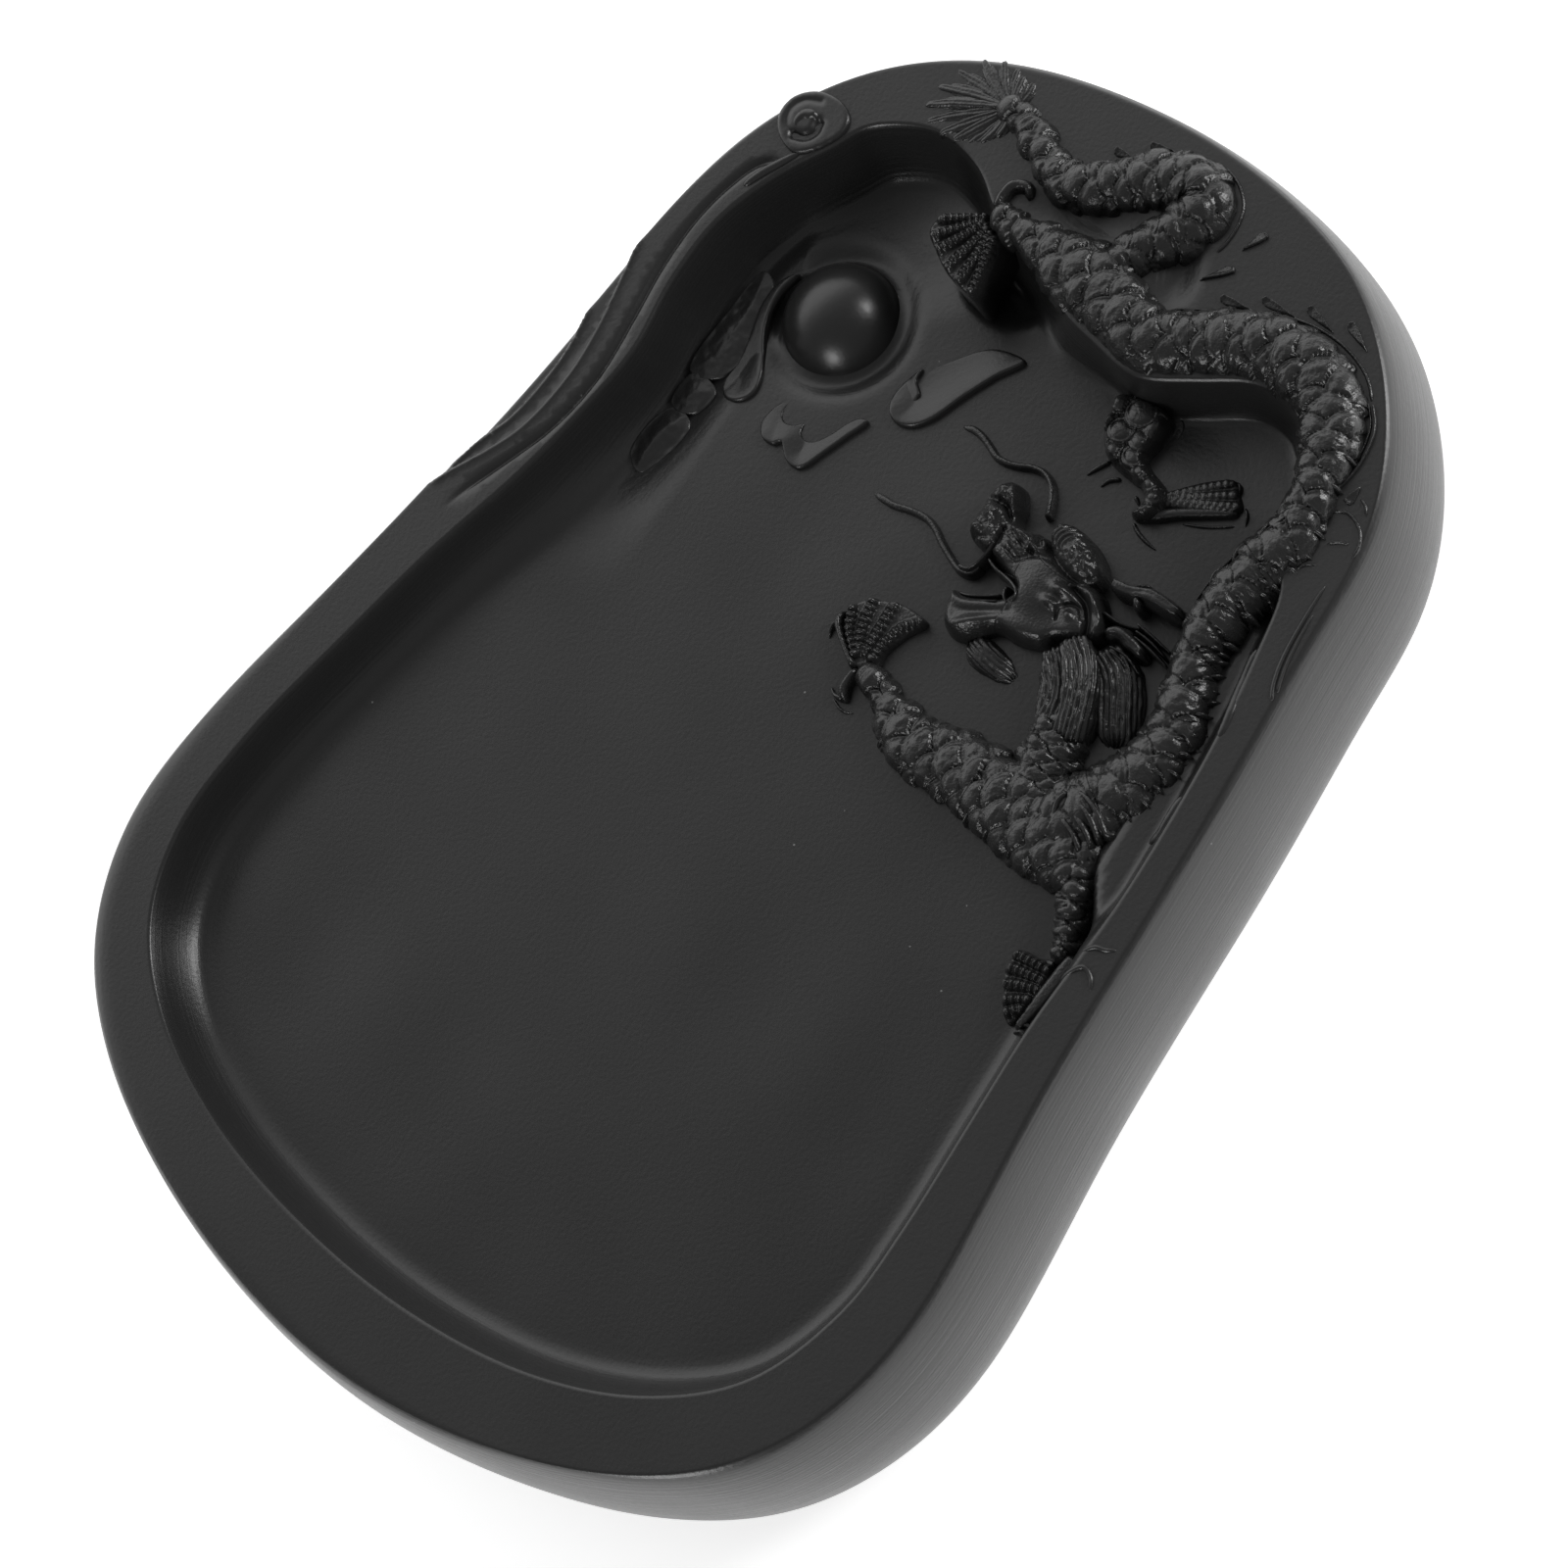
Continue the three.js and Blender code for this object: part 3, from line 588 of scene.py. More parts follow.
def resample(loop, step):
    """Points about every step mm round a closed loop with straight sides."""
    closed = np.vstack([loop, loop[:1]])
    along = np.r_[0, np.cumsum(np.linalg.norm(np.diff(closed, axis=0), axis=1))]
    at = np.linspace(0, along[-1], int(along[-1] / step) + 1)[:-1]
    return np.stack([np.interp(at, along, closed[:, k]) for k in range(2)], axis=1)


# ---------------------------------------------------------------- carved textures


def scale_lobe(ds, dv, own, tilt, bead, chance):
    """Height over one scale: a tilted dome inside a thin rim; ds points to its free edge."""
    rho = np.hypot(ds, dv) / own
    gap = (1 - rho) * own
    height = tilt * (0.3 + 0.6 * ds / own) * (0.7 + 0.6 * chance)
    height += (0.35 + 0.3 * chance) * (1 - rho ** 2)
    height += bead * (bell(gap - 0.12, 0.1) - bell(gap - 0.36, 0.15))
    return rho, height - 0.3 * bell(gap, 0.12)


def scales(s, v, pitch, spread, size, tilt, bead=0.1, seed=0):
    """Overlapping scales whose free edges point along +s."""
    height = np.zeros_like(s)
    row = np.floor(s / pitch)

    def chance(i, j, a, b):
        t = np.sin(i * a + j * b + seed) * 43758.5453
        return t - np.floor(t)

    for step in (2, 1, 0, -1):
        i = row + step
        shift = np.mod(i, 2) * spread / 2
        j = np.round((v - shift) / spread)
        wob, wob2 = chance(i, j, 12.9898, 78.233), chance(i, j, 39.346, 11.135)
        ds = s - i * pitch - (wob - 0.5) * 0.4
        dv = v - j * spread - shift - (wob2 - 0.5) * 0.45
        rho, lobe = scale_lobe(ds, dv, size * (0.9 + 0.2 * wob2), tilt, bead, wob)
        height = np.where(rho < 1, lobe, height)
    return height


def granular(s, v, size, amount, seed=3):
    """Fine roughness over a grid of points."""
    p = np.c_[s.ravel(), v.ravel()]
    return (amount * grain(p, size, seed)).reshape(s.shape)


def scaly(pitch=1.6, spread=3.2, size=1.95, tilt=0.4, seed=0):
    """A skin of scales, slightly rough."""
    def skin(s, v):
        return scales(s, v, pitch, spread, size, tilt, seed=seed) + granular(s, v, 0.35, 0.07, seed + 5)
    return skin


def strands(width, depth, sway=0.15, seed=0):
    """Fine strands of hair running along the path."""
    def skin(s, v):
        bend = sway * np.sin(s * 0.9 + seed)
        phase = (v + bend) / width
        ribs = np.abs(np.sin(math.pi * phase))
        uneven = 0.75 + 0.25 * np.sin(np.floor(phase) * 2.4 + seed)
        return depth * (ribs ** 0.7) * uneven + granular(s, v * 3, 0.7, depth * 0.25, seed + 2)
    return skin


BEAD_PITCH, TOE_WIDTH = 0.6, 0.46


def knuckles(columns, web, rise, bead=0.2):
    """A paw's webbed toes: columns of beads over a low web."""
    lines = [spline(column, False, 0.15) for column in columns]

    def relief(p, d):
        height = np.full(len(p), web)
        for k, line in enumerate(lines):
            far, along, _ = nearest(p, line)
            beads = np.cos(math.tau * (along / BEAD_PITCH + 0.3 * k))
            toe = (rise + bead * beads) * np.exp(-(far / TOE_WIDTH) ** 4)
            height = np.maximum(height, web + toe)
        return height + 0.03 * grain(p, 0.3, 11)
    return relief


# ---------------------------------------------------------------- the carvings


def rib(p, points, width, height):
    """A raised line through the points."""
    far, _, _ = nearest(p, spline(points, False, 0.2))
    return height * bell(far, width)


def chipped(edge, height, fade, rest=0.0):
    """Highest along one edge and dying away from it, as a cloud cut with a slanting chisel."""
    line = spline(edge, False, 0.3)

    def relief(p, d):
        far, _, _ = nearest(p, line)
        return rest + height * np.exp(-(far / fade) ** 1.6) - 0.06
    return relief


def split(body, surface, cuts, sink):
    """Cuts one swept surface into closed bodies at given distances along it."""
    parts = []
    rows = np.searchsorted(body.s, [0] + list(cuts) + [body.s[-1] + 1])
    for a, b in zip(rows[:-1], rows[1:]):
        parts.append(skin_mesh(surface[max(a - 1, 0):min(b + 1, len(surface))], sink))
    return parts


def trunk():
    """The long body from the chest round to the upper hind paw, cut into neck base, neck, back and hip."""
    body = Sweep([
        (27.5, 7.8, 3.3, FLOOR, 22), (30.6, 9.2, 3.8, FLOOR, 22.6), (33, 12.2, 3.6, FLOOR, 23.2),
        (34.4, 16, 3.3, FLOOR, 23.6), (34.5, 19.5, 3, FLOOR, 23.9), (33.6, 22.8, 2.5, FLOOR, 24.2),
        (32.5, 26.2, 2.4, FLOOR, 24.6), (32.3, 30, 2.4, 20, 25.1), (33.2, 34, 2.5, 22, 25.6),
        (34.6, 38, 2.3, 24, 26.1), (34.3, 41.5, 1.7, 24.3, 26.5), (33.8, 44, 1.95, 24.4, 26.7),
        (32.9, 46.8, 2.35, 24.5, 26.9), (30.3, 50.2, 2.6, 24.5, 27), (26.2, 51.5, 2.6, 24.5, 27),
        (22, 50.9, 2.5, 24.5, 27), (18, 49.1, 2.4, 24.4, 27), (14, 47, 2.5, 24.2, 27),
        (10.3, 48, 2.7, 24.2, 27), (7.2, 49, 3.1, 24.2, 27), (4.3, 49.3, 2.85, 24.3, 26.9),
        (1.7, 49.8, 2, 24.4, 26.5), (-0.6, 50, 1.35, 24.4, 26.2),
        (-3, 50.2, 1, 24.2, 26), (-4.7, 50.5, 0.9, 24, 25.8)], across=0.1, taper=(1.5, 0.5),
        round_power=2.5)
    surface = displaced(body.surface(), scaly(seed=1)(*body.coordinates()))
    x, y = body.line[:, 0], body.line[:, 1]
    cuts = [body.s[np.argmax(y > 11)], body.s[np.argmax(y > 35)],
            body.s[np.flatnonzero((y > 44) & (x < 17.5))[0]]]
    return body, split(body, surface, cuts, 1.2)


def chest_and_arm():
    """The left foreleg with the chest it grows from, cut in two."""
    body = Sweep([
        (35.2, 5.2, 1.6, FLOOR, 21.2), (33, 6, 3, FLOOR, 21.9), (29.6, 6.6, 3.6, FLOOR, 21.9),
        (26, 7, 3.5, FLOOR, 21.7), (22.6, 7.4, 3.2, FLOOR, 21.5), (19.4, 7.6, 3, FLOOR, 21.3),
        (16.4, 7.4, 2.7, FLOOR, 21.1), (13.6, 7.4, 2.3, FLOOR, 20.9), (11.2, 8.3, 1.7, FLOOR, 20.7),
        (9.2, 9.4, 1.05, FLOOR, 20.5), (7.6, 10, 0.8, FLOOR, 20.4), (6.2, 10.4, 0.7, FLOOR, 20.3)],
        across=0.11, taper=(1.5, 0.4), round_power=3.2)
    surface = displaced(body.surface(), scaly(1.4, 2.9, 1.7, 0.5, seed=4)(*body.coordinates()))
    cut = body.s[np.argmax(body.line[:, 0] < 21.5)]
    return body, split(body, surface, [cut], 1.0)


def right_foreleg():
    return strip([(33.6, 5.6, 2, 22), (34.6, 3, 1.6, 21.8), (35.5, 0.9, 1.25, 21.6), (36, -0.6, 1, 21.4),
                  (36.2, -1.9, 0.8, 21.1)], FLOOR, scaly(0.9, 2, 1.1, 0.26, seed=9))


def tail():
    """The looped tail, cut into root and end at its far bend."""
    body = Sweep([
        (7.4, 51.2, 1.6, 24.3, 26), (8.4, 53.2, 1.9, 24.4, 26.4), (9.9, 55.4, 2, 24.5, 26.7),
        (11.2, 57.6, 2.3, 24.5, 26.9), (11.5, 59.7, 2.35, 24.5, 27), (9.8, 60.8, 2.25, 24.5, 27),
        (7.4, 60.2, 2.4, 24.5, 26.9), (5, 58.8, 2.2, 24.5, 26.8), (2.9, 57.3, 2, 24.5, 26.7),
        (0.8, 56.2, 1.8, 24.5, 26.6), (-1.4, 55.9, 1.5, 24.5, 26.5), (-3.7, 56.8, 1.35, 24.5, 26.4),
        (-6.2, 58.2, 1.2, 24.5, 26.2), (-8.4, 59, 1, 24.5, 26), (-10.1, 59.3, 0.75, 24.5, 25.7)],
        across=0.1, taper=(0.6, 0.8))
    surface = displaced(body.surface(), scaly(1.35, 2.7, 1.6, 0.4, seed=2)(*body.coordinates()))
    top = body.s[np.argmax(body.line[:, 1])]
    return body, split(body, surface, [top - 1], 1.0)


def tail_fin():
    """Long flat veined leaves spreading from the end of the tail."""
    leaves = []
    root = np.array([-9.4, 59.2])
    for k, (angle, reach, bend) in enumerate((
            (68, 3.4, 0.3), (88, 3.2, 0.15), (106, 3.6, -0.05), (124, 4.3, -0.15), (140, 5.2, -0.12),
            (154, 6.2, -0.05), (168, 7.2, 0.08), (181, 8, 0.14), (194, 8.6, 0.16), (208, 8.4, 0.12),
            (222, 7.2, 0.08), (237, 6.2, 0), (252, 5.2, -0.1), (268, 4.2, -0.2), (290, 3, -0.3))):
        top = RIM_Z + 0.08 + 0.08 * ((k * 7) % 3)
        rows = []
        for share, curl, half, lift in ((0.08, 0, 0.25, 0.2), (0.35, 0.3, 0.55, 0.1), (0.62, 0.6, 0.7, 0),
                                        (0.95, 1, 0.2, -0.1)):
            way = math.radians(angle) + curl * bend
            x, y = root + share * reach * np.array([math.cos(way), math.sin(way)])
            rows.append((x, y, half, top + lift))
        leaves.append(strip(rows, RIM_Z - 0.3, strands(0.3, 0.12, 0.04, k), step=0.15, across=0.06,
                            taper=(0.2, 0.5)))
    return join(leaves)


def spine(x, y, angle, length, width=0.9):
    """A low fin like a shark's, blunt at its root, with a raised upper edge."""
    c, s = math.cos(math.radians(angle)), math.sin(math.radians(angle))
    along, across = np.array([c, s]), np.array([-s, c])

    def place(u, v):
        return tuple(np.array([x, y]) + along * u * length + across * v * width)

    edge = [place(-0.5, 0.1), place(-0.44, 0.5), place(-0.1, 0.36), place(0.5, -0.2)]
    shape = edge + [place(0.1, -0.4), place(-0.3, -0.5), place(-0.46, -0.3)]
    return patch(shape, chipped(edge, 0.3, 0.3, 0.22), step=0.12, round_edge=0.12, flat=True)


def paw(edge, columns, web, rise, base=None, sink=0.7, **more):
    """A webbed paw inside an edge, with beaded toes along the columns."""
    relief = knuckles(columns, web, rise, **more)
    return patch(edge, relief, step=0.1, round_edge=0.3, base=base, sink=sink)


def rays(centre, tips, start=0.12):
    """Toe columns fanning from one place."""
    c = np.array(centre)
    return [[tuple(c + (np.array(t) - c) * f) for f in (start, 0.55, 1.0)] for t in tips]


def left_forepaw():
    return paw([(1.8, 14.8), (3, 16.2), (4.2, 16.7), (5.2, 17.1), (7, 17.2), (8.8, 16.8), (7.8, 14.8),
                (7.1, 12.6), (7.2, 11), (6.2, 10.4), (5.2, 10.3), (3.6, 11.6), (2.2, 13)],
               [[(4.6, 11.2), (3, 12.7), (2.1, 14.5)], [(4.8, 11.6), (3.9, 13.6), (3.4, 16)],
                [(5.5, 11.9), (5.4, 14), (5.3, 16.7)],
                [(6.4, 11.7), (6.6, 13.6), (7.2, 15.4), (8.3, 16.6)]], 0.75, 0.6)


def left_claws():
    return join([
        ridge([(5.5, 10.1, 0.45, 1.5), (3.6, 11.3, 0.38, 1.5), (2.3, 12.3, 0.4, 1.45), (1.5, 13.3, 0.4, 1.3),
               (1.6, 14.5, 0.25, 1)]),
        ridge([(1.5, 13.1, 0.22, 0.9), (1.2, 12.4, 0.22, 0.7), (1.5, 11.3, 0.12, 0.4)]),
        ridge([(5.8, 10.4, 0.5, 1.5), (5.5, 8.8, 0.5, 1.4), (5.8, 7.7, 0.6, 1.3), (6.6, 7.1, 0.35, 0.9)]),
        ridge([(6, 7.4, 0.3, 0.9), (5.1, 7.3, 0.22, 0.7), (4.2, 7.8, 0.1, 0.4)], taper=(0.3, 0.4)),
        ridge([(4.9, 7, 0.12, 0.3), (6.3, 6.5, 0.15, 0.35), (7.4, 6.8, 0.1, 0.25)])])


def right_forepaw():
    return join([
        paw([(35.8, -2.2), (34.4, -2.6), (32.6, -2.9), (32.3, -4.4), (32.6, -5.5), (33.4, -6.7),
             (34.1, -7.9), (35.4, -8.8), (36.1, -7), (36.3, -4)],
            [[(35.7, -3.2), (34, -3.3), (32.6, -3.4)], [(35.7, -4.2), (34, -4.4), (32.6, -4.7)],
             [(35.7, -5.1), (34.4, -5.5), (33.3, -6)], [(35.7, -6.2), (34.8, -6.7), (33.9, -7.3)],
             [(35.6, -7.2), (34.8, -8)]], 0.7, 0.6),
        strip([(37.6, -0.8, 0.8, 21.8), (37.3, -2.8, 1, 21.3), (36.9, -5, 0.95, 20.8),
               (36.5, -7.2, 0.75, 20.4), (36.1, -9, 0.45, 20)], FLOOR, round_power=4),
        ridge([(36, -9.2, 0.22, 0.7), (36.8, -8.7, 0.24, 0.5), (38, -8.9, 0.22, 0.4),
               (38.7, -8.1, 0.12, 0.2)]),
        ridge([(36.4, -8.2, 0.2, 0.6), (37.3, -8, 0.22, 0.45), (38.2, -8.3, 0.12, 0.3)])])


THIGH = [(11.9, 42.3), (12.5, 43.1), (14.2, 43.6), (16.4, 43.5), (17.5, 42.6), (17.6, 40.5), (17.5, 38.9),
         (18.4, 38.3), (19.8, 37.8), (21, 37.1), (21.4, 35.8), (20.9, 34.5), (19.8, 33.8), (18.9, 34.1),
         (19.3, 35.4), (18.8, 36.3), (17.2, 36.6), (15.6, 36.9), (14, 37.5), (12.9, 38.6), (12.4, 40)]
# x, y, radius and direction of the free edge of each big scale on the thigh, from front to back
THIGH_SCALES = [
    (15, 42.1, 1.6, -75), (12.9, 42.1, 1.1, -100), (16.8, 41.6, 1.2, -80), (14.3, 39.9, 1.35, -85),
    (12.8, 40.2, 1.0, -110), (16.4, 40, 1.25, -75), (16.6, 38.5, 1.25, -65), (14.8, 38.1, 1.1, -80),
    (17.9, 37.5, 0.95, -30), (19.2, 37, 0.95, -35), (20.3, 36.2, 0.95, -60), (20.5, 35, 0.9, -100)]


def lower_hind_leg():
    def height(p):
        z = plateau(p, THIGH, 20.3, 0.8)
        skin = np.zeros(len(p))
        for k, (x, y, radius, angle) in enumerate(THIGH_SCALES[::-1]):
            rho, lobe = scale_lobe(*turned(p, x, y, math.radians(angle)), radius, 0.5, 0.1,
                                   0.5 + 0.4 * math.sin(k * 2.1))
            skin = np.where(rho < 1, lobe, skin)
        return z + np.where(z > 18.7, skin + 0.02 * grain(p, 0.3, 51), 0)

    tufts = [ridge([(*a, 0.2, 0.5), (*b, 0.22, 0.4), (*c, 0.08, 0.2)], taper=(0.3, 0.3)) for a, b, c in (
        ((14.4, 37.3), (13.7, 36.2), (13.2, 35.2)), ((16.2, 36.4), (15.3, 35.8), (14.9, 34.9)),
        ((18.1, 35.7), (18.5, 35.5), (19, 35.1)))]
    edge = [(11.4, 42), (12.5, 43.8), (15, 44.2), (18, 43.4), (18.3, 40), (19.5, 38.4), (21.6, 37.5),
            (22.2, 35), (20.5, 33.2), (18.3, 33.8), (18.6, 36), (15, 36.4), (12.6, 38)]
    return join(field(edge, height, lambda p: np.zeros(len(p), int)) + tufts)


def lower_hind_paw():
    return join([
        paw([(20.2, 36.6), (21.5, 38.4), (23.4, 40.3), (25.2, 41.2), (26.1, 40.4), (27.2, 39.2),
             (26.2, 38.1), (23.6, 36.7), (21.8, 35.7)],
            rays((19.6, 36), [(24.9, 40.8), (25.8, 40), (26.6, 39.2), (26.6, 38.5)]), 0.45, 0.4,
            bead=0.06),
        ridge([(25.2, 41.2, 0.15, 0.9), (25.8, 40.9, 0.2, 0.8), (26.2, 40.1, 0.12, 0.5)]),
        ridge([(27.2, 39.6, 0.15, 0.6), (27.8, 39, 0.18, 0.5), (28.2, 38.1, 0.1, 0.3)])])


def lower_hind_claw():
    return join([
        ridge([(27.2, 38.8, 0.35, 0.7), (25, 37.6, 0.5, 0.9), (22.6, 36.2, 0.55, 1), (20.9, 35, 0.6, 1),
               (19.3, 34, 0.4, 0.8)], round_power=3),
        ridge([(27.4, 37.7, 0.12, 0.2), (25.2, 36.4, 0.15, 0.28), (22.9, 35.5, 0.12, 0.22)]),
        ridge([(19.4, 33.6, 0.18, 0.5), (20.2, 33.1, 0.22, 0.45), (21.4, 32.7, 0.2, 0.4),
               (22.6, 32.5, 0.08, 0.2)], taper=(0.3, 0.3))])


def upper_hind_paw():
    """The paw that reaches over the pool, solid down to the pool's wall."""
    heel = (-4.6, 50.6)
    tips = [(-9.5, 47.8), (-9.2, 46.2), (-8, 45.4), (-6.4, 44.4), (-4.7, 43.8), (-3.1, 43.5)]
    return paw([heel, (-6.8, 49.8), (-9.8, 48.2), (-10.1, 46.4), (-8.5, 45.1), (-6.5, 43.9), (-4.5, 43.3),
                (-2.7, 43), (-2.9, 46), (-3.5, 48.8)],
               rays(heel, tips, 0.3), 0.7, 0.7, base=lambda p: np.full(len(p), 23.5), sink=5)


def upper_hind_claw():
    return strip([(-4.9, 50.4, 0.6, 26), (-5.2, 52, 0.65, 26), (-4.9, 53.2, 0.65, 26),
                  (-3.7, 53.7, 0.55, 25.9), (-3, 52.8, 0.3, 25.6)], 24.4, strands(0.4, 0.12))


FACE = [(14.3, 28.3), (16.5, 27.4), (19.5, 27), (22.3, 26.2), (23.8, 24.6), (24.5, 22.8), (23.4, 21.7),
        (20.8, 20.6), (19.9, 19.6), (17.8, 18.9), (15.8, 18.8), (14.8, 17.8), (13.6, 16.8), (12.2, 16.5),
        (10.8, 17.2), (10, 18.8), (9.9, 20.3), (11.4, 20.4), (13, 21.1), (14.5, 21.9), (15, 22.7),
        (13, 23.5), (11.3, 24.1), (9.6, 24.5), (8.2, 25.1), (7.9, 27), (7.9, 29.5), (8.7, 30.8),
        (10.2, 31), (11.5, 29.4), (12, 28), (13.2, 28.1)]
# x, y, reach along, reach across, turn in degrees, height of each swelling on the face
SWELLINGS = [
    (9.7, 27.5, 0.85, 0.8, 0, 1.1), (9.5, 29.8, 0.8, 0.9, 0, 0.6), (10.6, 29.6, 0.35, 1.1, 33, 0.8),
    (8.9, 25.8, 0.8, 0.5, 10, 0.5), (10.5, 26.2, 0.6, 0.4, 0, 0.45), (12.7, 26, 1.1, 0.6, -10, 0.35),
    (12.4, 24.8, 1.3, 0.4, -14, 0.5), (12.9, 27.3, 1.2, 0.35, -14, 0.9), (14.5, 26.8, 0.4, 0.25, 0, 0.5),
    (14.6, 26.3, 0.28, 0.2, 0, -0.6), (16.6, 23.6, 2.2, 2.6, 20, 0.6), (19.2, 24.65, 1.0, 0.5, 0, 0.85),
    (19, 23.2, 0.9, 0.45, 0, 0.75), (13.4, 18.3, 1.9, 0.5, 37, 0.6), (15.3, 28, 0.9, 0.9, 0, 0.8),
    (20.9, 23.1, 0.5, 0.4, 0, 0.5), (21.6, 22.6, 1.1, 0.8, 30, 0.3), (22.3, 25.2, 1.4, 0.35, -38, 0.7),
    (23.7, 23.6, 0.4, 0.9, 10, 0.6), (17.5, 20.2, 2, 0.8, 5, 0.3)]
HEAD_EDGE = [(6.6, 24), (6.4, 31), (8, 33), (12.5, 32), (18, 31.5), (24, 28.5), (26, 24), (25, 20.5),
             (20, 17), (12.5, 15), (8.6, 17), (8.8, 21.5)]


def swelling(p, x, y, rx, ry, turn, height):
    """A soft mound on the face, or a dent where height is negative."""
    u, v = turned(p, x, y, math.radians(turn))
    return height * bell(u, rx) * bell(v, ry)


def plateau(p, outline_points, height, edge_width, foot=18.0):
    """Height of a level mass with a quarter-round edge, sunk below the floor outside it."""
    d = inside_by(p, counter_clockwise(spline(outline_points, True, 0.2)))
    t = np.clip(d / edge_width, 0, 1)
    return np.where(d > 0, foot + 0.6 + (height - foot - 0.6) * np.sqrt(1 - (1 - t) ** 2), foot)


def head_height(p):
    """The face: a level mass with its swellings, cut by grooves, and a rough, lined muzzle."""
    x, y = p[:, 0], p[:, 1]
    z = plateau(p, FACE, 21.5, 1.1)
    z = z + (z > 18.7) * sum(swelling(p, *each) for each in SWELLINGS)
    grooves = [([(19.9, 25.3), (21.4, 24.8), (22.4, 23.7), (23.1, 22.2)], 0.28, 0.9),
               ([(20, 22.3), (19.8, 23.2), (20.4, 24), (21.3, 24.1), (22, 23.4)], 0.16, 0.4),
               ([(9, 25), (10.2, 25.4)], 0.2, 0.4), ([(8.4, 28.7), (10.4, 28.6), (11.2, 27.8)], 0.25, 0.7),
               ([(11.3, 26.9), (11.4, 25.6), (11.2, 24.6)], 0.22, 0.6),
               ([(14.2, 28.4), (14.5, 27.6), (14.9, 27.2)], 0.3, 0.8),
               ([(14, 25.2), (15.4, 26.3), (17.4, 26.5), (20, 26)], 0.35, 0.35),
               ([(10.6, 18.9), (11.9, 18.8), (14.6, 20.1), (16, 20.8)], 0.35, 0.2)]
    for points, width, depth in grooves:
        z = z - rib(p, points, width, depth)
    rough = ramp(-x, -15, -14) * ramp(y, 24, 25)
    z = z + rough * (0.12 * grain(p, 0.5, 31) + 0.1 * grain(p, 0.25, 32))
    lines = np.sin((y + 0.4 * x) * math.tau / 0.5)
    return z + 0.08 * lines * ramp(x, 11.8, 12.2) * ramp(-x, -14.6, -13.8) * ramp(y, 24.4, 24.8)


BROW, BROW_REACH, BROW_TURN = (18.4, 28.05), (3.4, 1.75), math.radians(-22)


def brow_height(p):
    """The domed brow over the eye, combed in arcs at its left end."""
    u, v = turned(p, *BROW, BROW_TURN)
    edge = np.hypot(u / BROW_REACH[0], v / BROW_REACH[1])
    z = 20.4 + 2.9 * np.sqrt(1 - np.minimum(edge, 1) ** 2.6)
    z = np.where(z < 20.5, 17.5, z)
    left = ramp(-u, 0.3, 0.9)
    z += 0.16 * np.sin(np.hypot(u - 0.8, v * 1.15) * math.tau / 0.52) * left
    z += (1 - left) * (0.13 * grain(p, 0.42, 41) + 0.12 * grain(p, 0.21, 42))
    return z - 0.3 * bell(edge - 0.86, 0.05) * (v < 0.2)


def field(edge, height, regions, step=0.11):
    """One carved height field cut into named bodies. regions(p) numbers the body at each point."""
    loop = counter_clockwise(spline(edge, True, step))
    grid = grid_points(loop.min(0), loop.max(0), step)
    grid = grid[inside_by(grid, loop) > step]
    verts, tris = triangulate(np.vstack([loop[:, :2], grid]))
    tris = tris[within(verts[tris].mean(1), loop)]
    top = np.c_[verts, height(verts)]
    shown = (top[tris][:, :, 2].max(1) > ground_at(verts)[tris].min(1) - 0.25)
    owner = regions(verts[tris].mean(1))
    bodies = [compacted(top, tris[shown & (owner == k)]) for k in range(owner.max() + 1)]
    return [closed_down(points, faces, np.full(len(points), DEEP)) for points, faces in bodies]


def head_regions(p):
    """0 skull, 1 brow, 2 snout, 3 lower jaw."""
    x, y = p[:, 0], p[:, 1]
    on_brow = np.hypot((x - BROW[0]) / 4.2, (y - BROW[1]) / 2.4) < 1
    jaw = (y < 20.3 + 0.4 * (x - 10.5)) & (x < 15.5)
    snout = (x < 14.6) & (y > 23.6) & (x + 0.35 * y < 23.6)
    return np.where(jaw, 3, np.where(snout, 2, np.where(on_brow, 1, 0)))


def head():
    """The head's carving, set a little up and left of where its outlines are drawn."""
    def height(p):
        q = p[:, :2] - HEAD_PLACE
        return np.maximum(head_height(q), brow_height(q))
    edge = [tuple(np.array(point) + HEAD_PLACE) for point in HEAD_EDGE]
    return field(edge, height, lambda p: head_regions(p[:, :2] - HEAD_PLACE))


def lips():
    def cord(points, half, crest):
        return strip([(x - 0.35, y + 0.25, half, z) for (x, y), z in zip(points, crest)], 19.4,
                     taper=(0.4, 0.4))
    return join([
        cord([(8.6, 22.3), (9.8, 22.4), (10.4, 23.1), (10.8, 24.4), (10.9, 25.8)], 0.24,
             (20.6, 20.9, 21.3, 21.6, 21.9)),
        cord([(11, 24.1), (12.2, 23.6), (13.4, 23.4), (14.6, 23.1), (15.3, 22.7), (15.6, 22.1),
              (15.2, 21.5)], 0.25, (21.4, 21.5, 21.6, 21.9, 22.2, 22.3, 22.1)),
        cord([(14.3, 22.9), (14.3, 22.2), (14.8, 21.6), (15.4, 21.4)], 0.2, (21.8, 21.9, 22.1, 22)),
        cord([(10, 20.3), (11.2, 20.4), (12.8, 21.1), (14.3, 21.9)], 0.22, (20.4, 20.9, 21.2, 21.6)),
        cord([(10.2, 19.9), (11.4, 20), (13, 20.6), (14.4, 21.3)], 0.2, (20.4, 20.9, 21.4, 21.8))])


def beard():
    return strip([(13.1, 17.4, 0.9, 20), (14.6, 17.1, 1.25, 20.2), (16.4, 16.8, 1.2, 20),
                  (18.4, 16.5, 0.7, 19.5)], 18.8, strands(0.36, 0.24, 0.12, 5), step=0.1, across=0.06,
                 taper=(0.6, 1.4), round_power=4)


